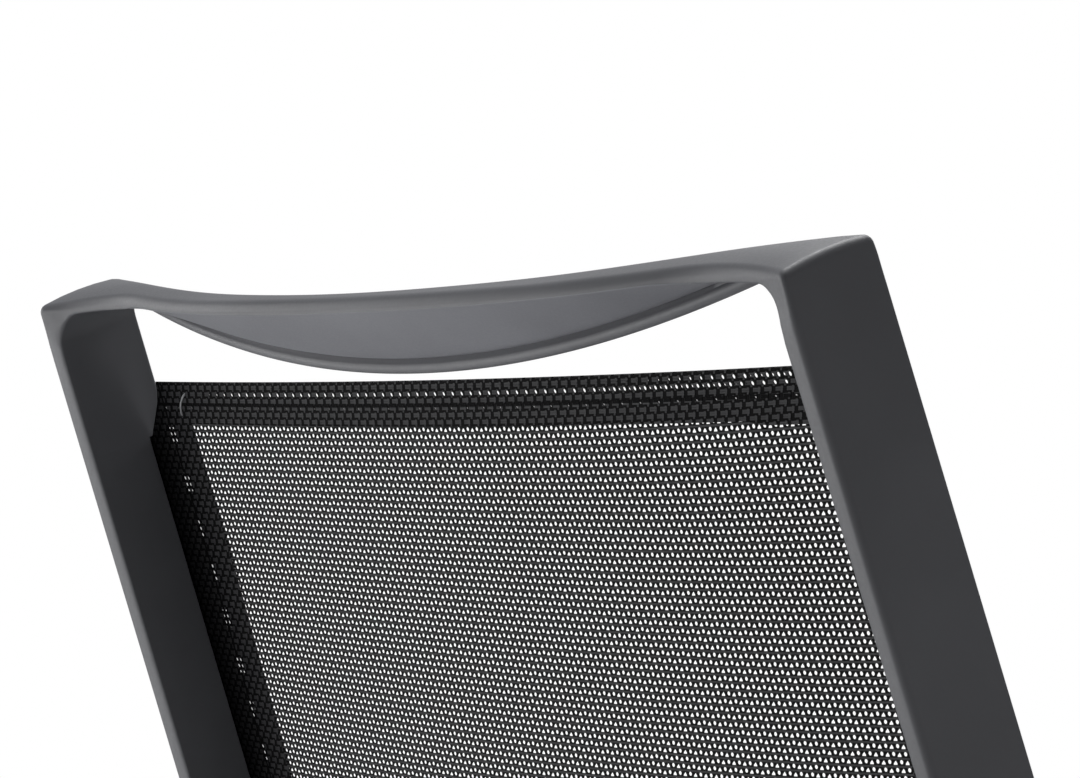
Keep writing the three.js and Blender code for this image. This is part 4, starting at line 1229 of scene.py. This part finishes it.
def turned_head(mesh, radius, height, face, sign, y, z, socket):
    """A domed bolt head on the X axis, with a hexagonal socket where it has one."""
    flank = face + height * HEAD_FLANK
    profile = [(face, 0), (face, radius - HEAD_EDGE), (face + HEAD_EDGE, radius), (flank, radius)]
    for angle in steps(12, 90, 6):
        out = HEAD_FLANK + (1 - HEAD_FLANK) * sine(angle)
        wide = HEAD_FLAT + (1 - HEAD_FLAT) * cosine(angle)
        profile.append((face + height * out, radius * wide))
    verts = [mesh.verts.new((sign * x, y, z + r)) for x, r in profile]
    edges = [mesh.edges.new(pair) for pair in zip(verts, verts[1:])]
    bmesh.ops.spin(
        mesh,
        geom=verts + edges,
        cent=(0, y, z),
        axis=(1, 0, 0),
        angle=2 * math.pi,
        steps=24,
        use_merge=True,
    )
    bmesh.ops.remove_doubles(mesh, verts=mesh.verts, dist=0.01)
    top = sign * (face + height)
    open_edges = [edge for edge in mesh.edges if edge.is_boundary]
    rim = [edge for edge in open_edges if all(abs(v.co.x - top) < 0.01 for v in edge.verts)]
    if not socket:
        bmesh.ops.holes_fill(mesh, edges=rim)
        return
    corner = SOCKET_ACROSS / 2 / cosine(30)
    hexagon = bmesh.ops.create_circle(mesh, segments=6, radius=corner)["verts"]
    quarter_turn(mesh, hexagon)
    bmesh.ops.translate(mesh, verts=hexagon, vec=(top, y, z))
    ring = list({edge for vertex in hexagon for edge in vertex.link_edges})
    bmesh.ops.bridge_loops(mesh, edges=rim + ring)
    grown = bmesh.ops.extrude_edge_only(mesh, edges=ring)["geom"]
    floor = [item for item in grown if isinstance(item, bmesh.types.BMVert)]
    bmesh.ops.translate(mesh, verts=floor, vec=(-sign * SOCKET_DEPTH, 0, 0))
    bmesh.ops.contextual_create(mesh, geom=floor)


def make_bolt(title, face, radius, height, sign, y, z, tip):
    """Round-headed bolt with its head on the face and its shank's end at the tip."""
    mesh = bmesh.new()
    turned_head(mesh, radius, height, face, sign, y, z, socket=True)
    prism(mesh, 20, SHANK_RADIUS, sign * tip, sign * (face + 2 * OVERLAP), y, z)
    finished(title + "_skin", mesh, STEEL, [title], sharp=40)


def make_nut(title, face, sign, y, z):
    """Domed cap nut with six flats under its dome."""
    mesh = bmesh.new()
    prism(mesh, 6, NUT_RADIUS, sign * (face - NUT_HEIGHT), sign * face, y, z)
    rims = [e for e in mesh.edges if len({round(v.co.x, 3) for v in e.verts}) == 1]
    bmesh.ops.bevel(
        mesh,
        geom=rims,
        offset=NUT_CHAMFER,
        segments=2,
        profile=0.5,
        affect="EDGES",
        material=-1,
    )
    dome_face = NUT_HEIGHT - OVERLAP - face
    turned_head(mesh, NUT_DOME_RADIUS, NUT_DOME_HEIGHT, dome_face, -sign, y, z, socket=False)
    finished(title + "_skin", mesh, STEEL, [title], sharp=35)


make_crest()
make_panel()
make_sling()
make_thread_end()
spreader_places = {
    "back": BACK_END - BACK_SPREADER_ABOVE,
    "rear": BEND_END + REAR_SPREADER_AHEAD,
    "front": KNEE_START - FRONT_SPREADER_BEHIND,
}
for side, sign in SIDES.items():
    make_rail(side, sign)
    make_hoop(side, sign)
    make_pad(side, sign)
for name, at in spreader_places.items():
    make_spreader(name, at)
for side, sign in SIDES.items():
    for joint, spot in (("arm", arm_bolt), ("seat", front_bolt)):
        lean = NUT_RADIUS * RAIL_SPLAY if joint == "arm" else 0
        nut_face = spot.x - RAIL_THICKNESS - FIT_GAP - lean
        make_bolt(
            joint + "_bolt_" + side,
            HOOP_OUTER + FIT_GAP,
            BOLT_HEAD_DIAMETER / 2,
            BOLT_HEAD_HEIGHT,
            sign,
            spot.y,
            spot.z,
            nut_face - BOLT_PAST_NUT_FACE,
        )
        make_nut(joint + "_nut_" + side, nut_face, sign, spot.y, spot.z)
    for name, at in spreader_places.items():
        lean = LOW_HEAD_DIAMETER / 2 * RAIL_SPLAY if at < BACK_END else 0
        face = rail_half(at) + lean + FIT_GAP
        make_bolt(
            name + "_spreader_bolt_" + side,
            face,
            LOW_HEAD_DIAMETER / 2,
            LOW_HEAD_HEIGHT,
            sign,
            *bore_point(at),
            face - RAIL_THICKNESS - SPREADER_BOLT_REACH,
        )

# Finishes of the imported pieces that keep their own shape
FINISHES = {
    "sling_rod": ROD,
    "glide": NYLON,
    "rail_cap": NYLON,
    "arm_spacer": NYLON,
    "seat_spacer": NYLON,
    "arm_pad_screw": STEEL,
}
for title, node in nodes.items():
    for start, material in FINISHES.items():
        if title.startswith(start):
            node.data.materials.clear()
            node.data.materials.append(material)

# Studio


def matt_paper(name, code):
    """Uncoated paper. It looks flat white and keeps the soft shadow of the legs."""
    material, tree = new_material(name)
    add(tree, "OutputMaterial", add(tree, "BsdfDiffuse", Color=srgb(code)))
    return material


def studio_floor(half_width, below):
    mesh = bmesh.new()
    bmesh.ops.create_grid(mesh, x_segments=1, y_segments=1, size=half_width)
    data = bpy.data.meshes.new("studio_floor")
    mesh.to_mesh(data)
    mesh.free()
    data.materials.append(matt_paper("white paper, matt", "#e4e4e4"))
    floor = bpy.data.objects.new("studio_floor", data)
    floor.location = (0, 0, -below)
    bpy.context.collection.objects.link(floor)


def lamp(name, place, aim, size, watts):
    data = bpy.data.lights.new(name, "AREA")
    data.shape = "RECTANGLE"
    data.size, data.size_y = size
    data.energy = watts
    holder = bpy.data.objects.new(name, data)
    holder.location = place
    holder.rotation_mode = "QUATERNION"
    holder.rotation_quaternion = (Vector(aim) - Vector(place)).to_track_quat("-Z", "Y")
    bpy.context.collection.objects.link(holder)


# Places, aims and sizes of the floor and the lamps are in metres, from the part's origin.
studio_floor(3, 0.0005)
BACK = (0, 0.2, 0.75)
CREST = (0, 0.2, 0.85)
lamp("overhead_front_softbox", (0.4, -0.9, 2.9), BACK, (2.2, 1.4), 60)
lamp("overhead_rear_softbox", (0.3, 0.5, 3.0), BACK, (2.2, 1.4), 26)
lamp("left_rear_softbox", (2.6, 1.3, 1.1), CREST, (1.6, 1.6), 21)
lamp("low_rear_strip", (1.3, 1.9, 0.25), BACK, (1.8, 0.6), 15)
lamp("left_front_reflector", (2.7, -1.7, 1.3), (0, 0.2, 0.9), (4.0, 2.6), 6.5)
lamp("rear_floor_reflector", (0.9, 1.1, 0.04), (0, 0.25, 0.85), (0.8, 0.4), 2.2)
lamp("right_floor_reflector", (-1.3, -0.6, 0.35), (-0.25, 0.2, 0.8), (0.8, 0.5), 1.1)

# The camera sees plain white, also through the gaps of the mesh. The object gets a faint fill.
world = bpy.data.worlds.new("studio")
bpy.context.scene.world = world
world.use_nodes = True
sky = world.node_tree
sky.nodes.clear()
rays = add(sky, "LightPath").outputs
seen = add(sky, "Math", rays["Is Camera Ray"], rays["Is Transmission Ray"], operation="MAXIMUM")
WHITE = (1, 1, 1, 1)
fill = add(sky, "Background", Color=WHITE, Strength=0.12)
backdrop = add(sky, "Background", Color=WHITE, Strength=1.0)
add(sky, "OutputWorld", add(sky, "MixShader", seen, fill, backdrop))

# Camera, fitted to the straight edges of the rails in the photograph
CAMERA_PLACE = Vector((-1218.7, 725.2 + SHIFT_Y, BACK_TOP - 40.9))
CAMERA_LENS = 128.8
SENSOR_WIDTH = 36
YAW, PITCH = math.radians(56.446), math.radians(0.243)
LOOK = Vector((math.sin(YAW) * math.cos(PITCH), -math.cos(YAW) * math.cos(PITCH), math.sin(PITCH)))
camera_data = bpy.data.cameras.new("camera")
camera_data.sensor_width = SENSOR_WIDTH
camera_data.lens = CAMERA_LENS
camera = bpy.data.objects.new("camera", camera_data)
camera.location = CAMERA_PLACE * MM
camera.rotation_mode = "QUATERNION"
camera.rotation_quaternion = LOOK.to_track_quat("-Z", "Y")
bpy.context.collection.objects.link(camera)
bpy.context.scene.camera = camera
bpy.context.scene.view_settings.view_transform = "Standard"
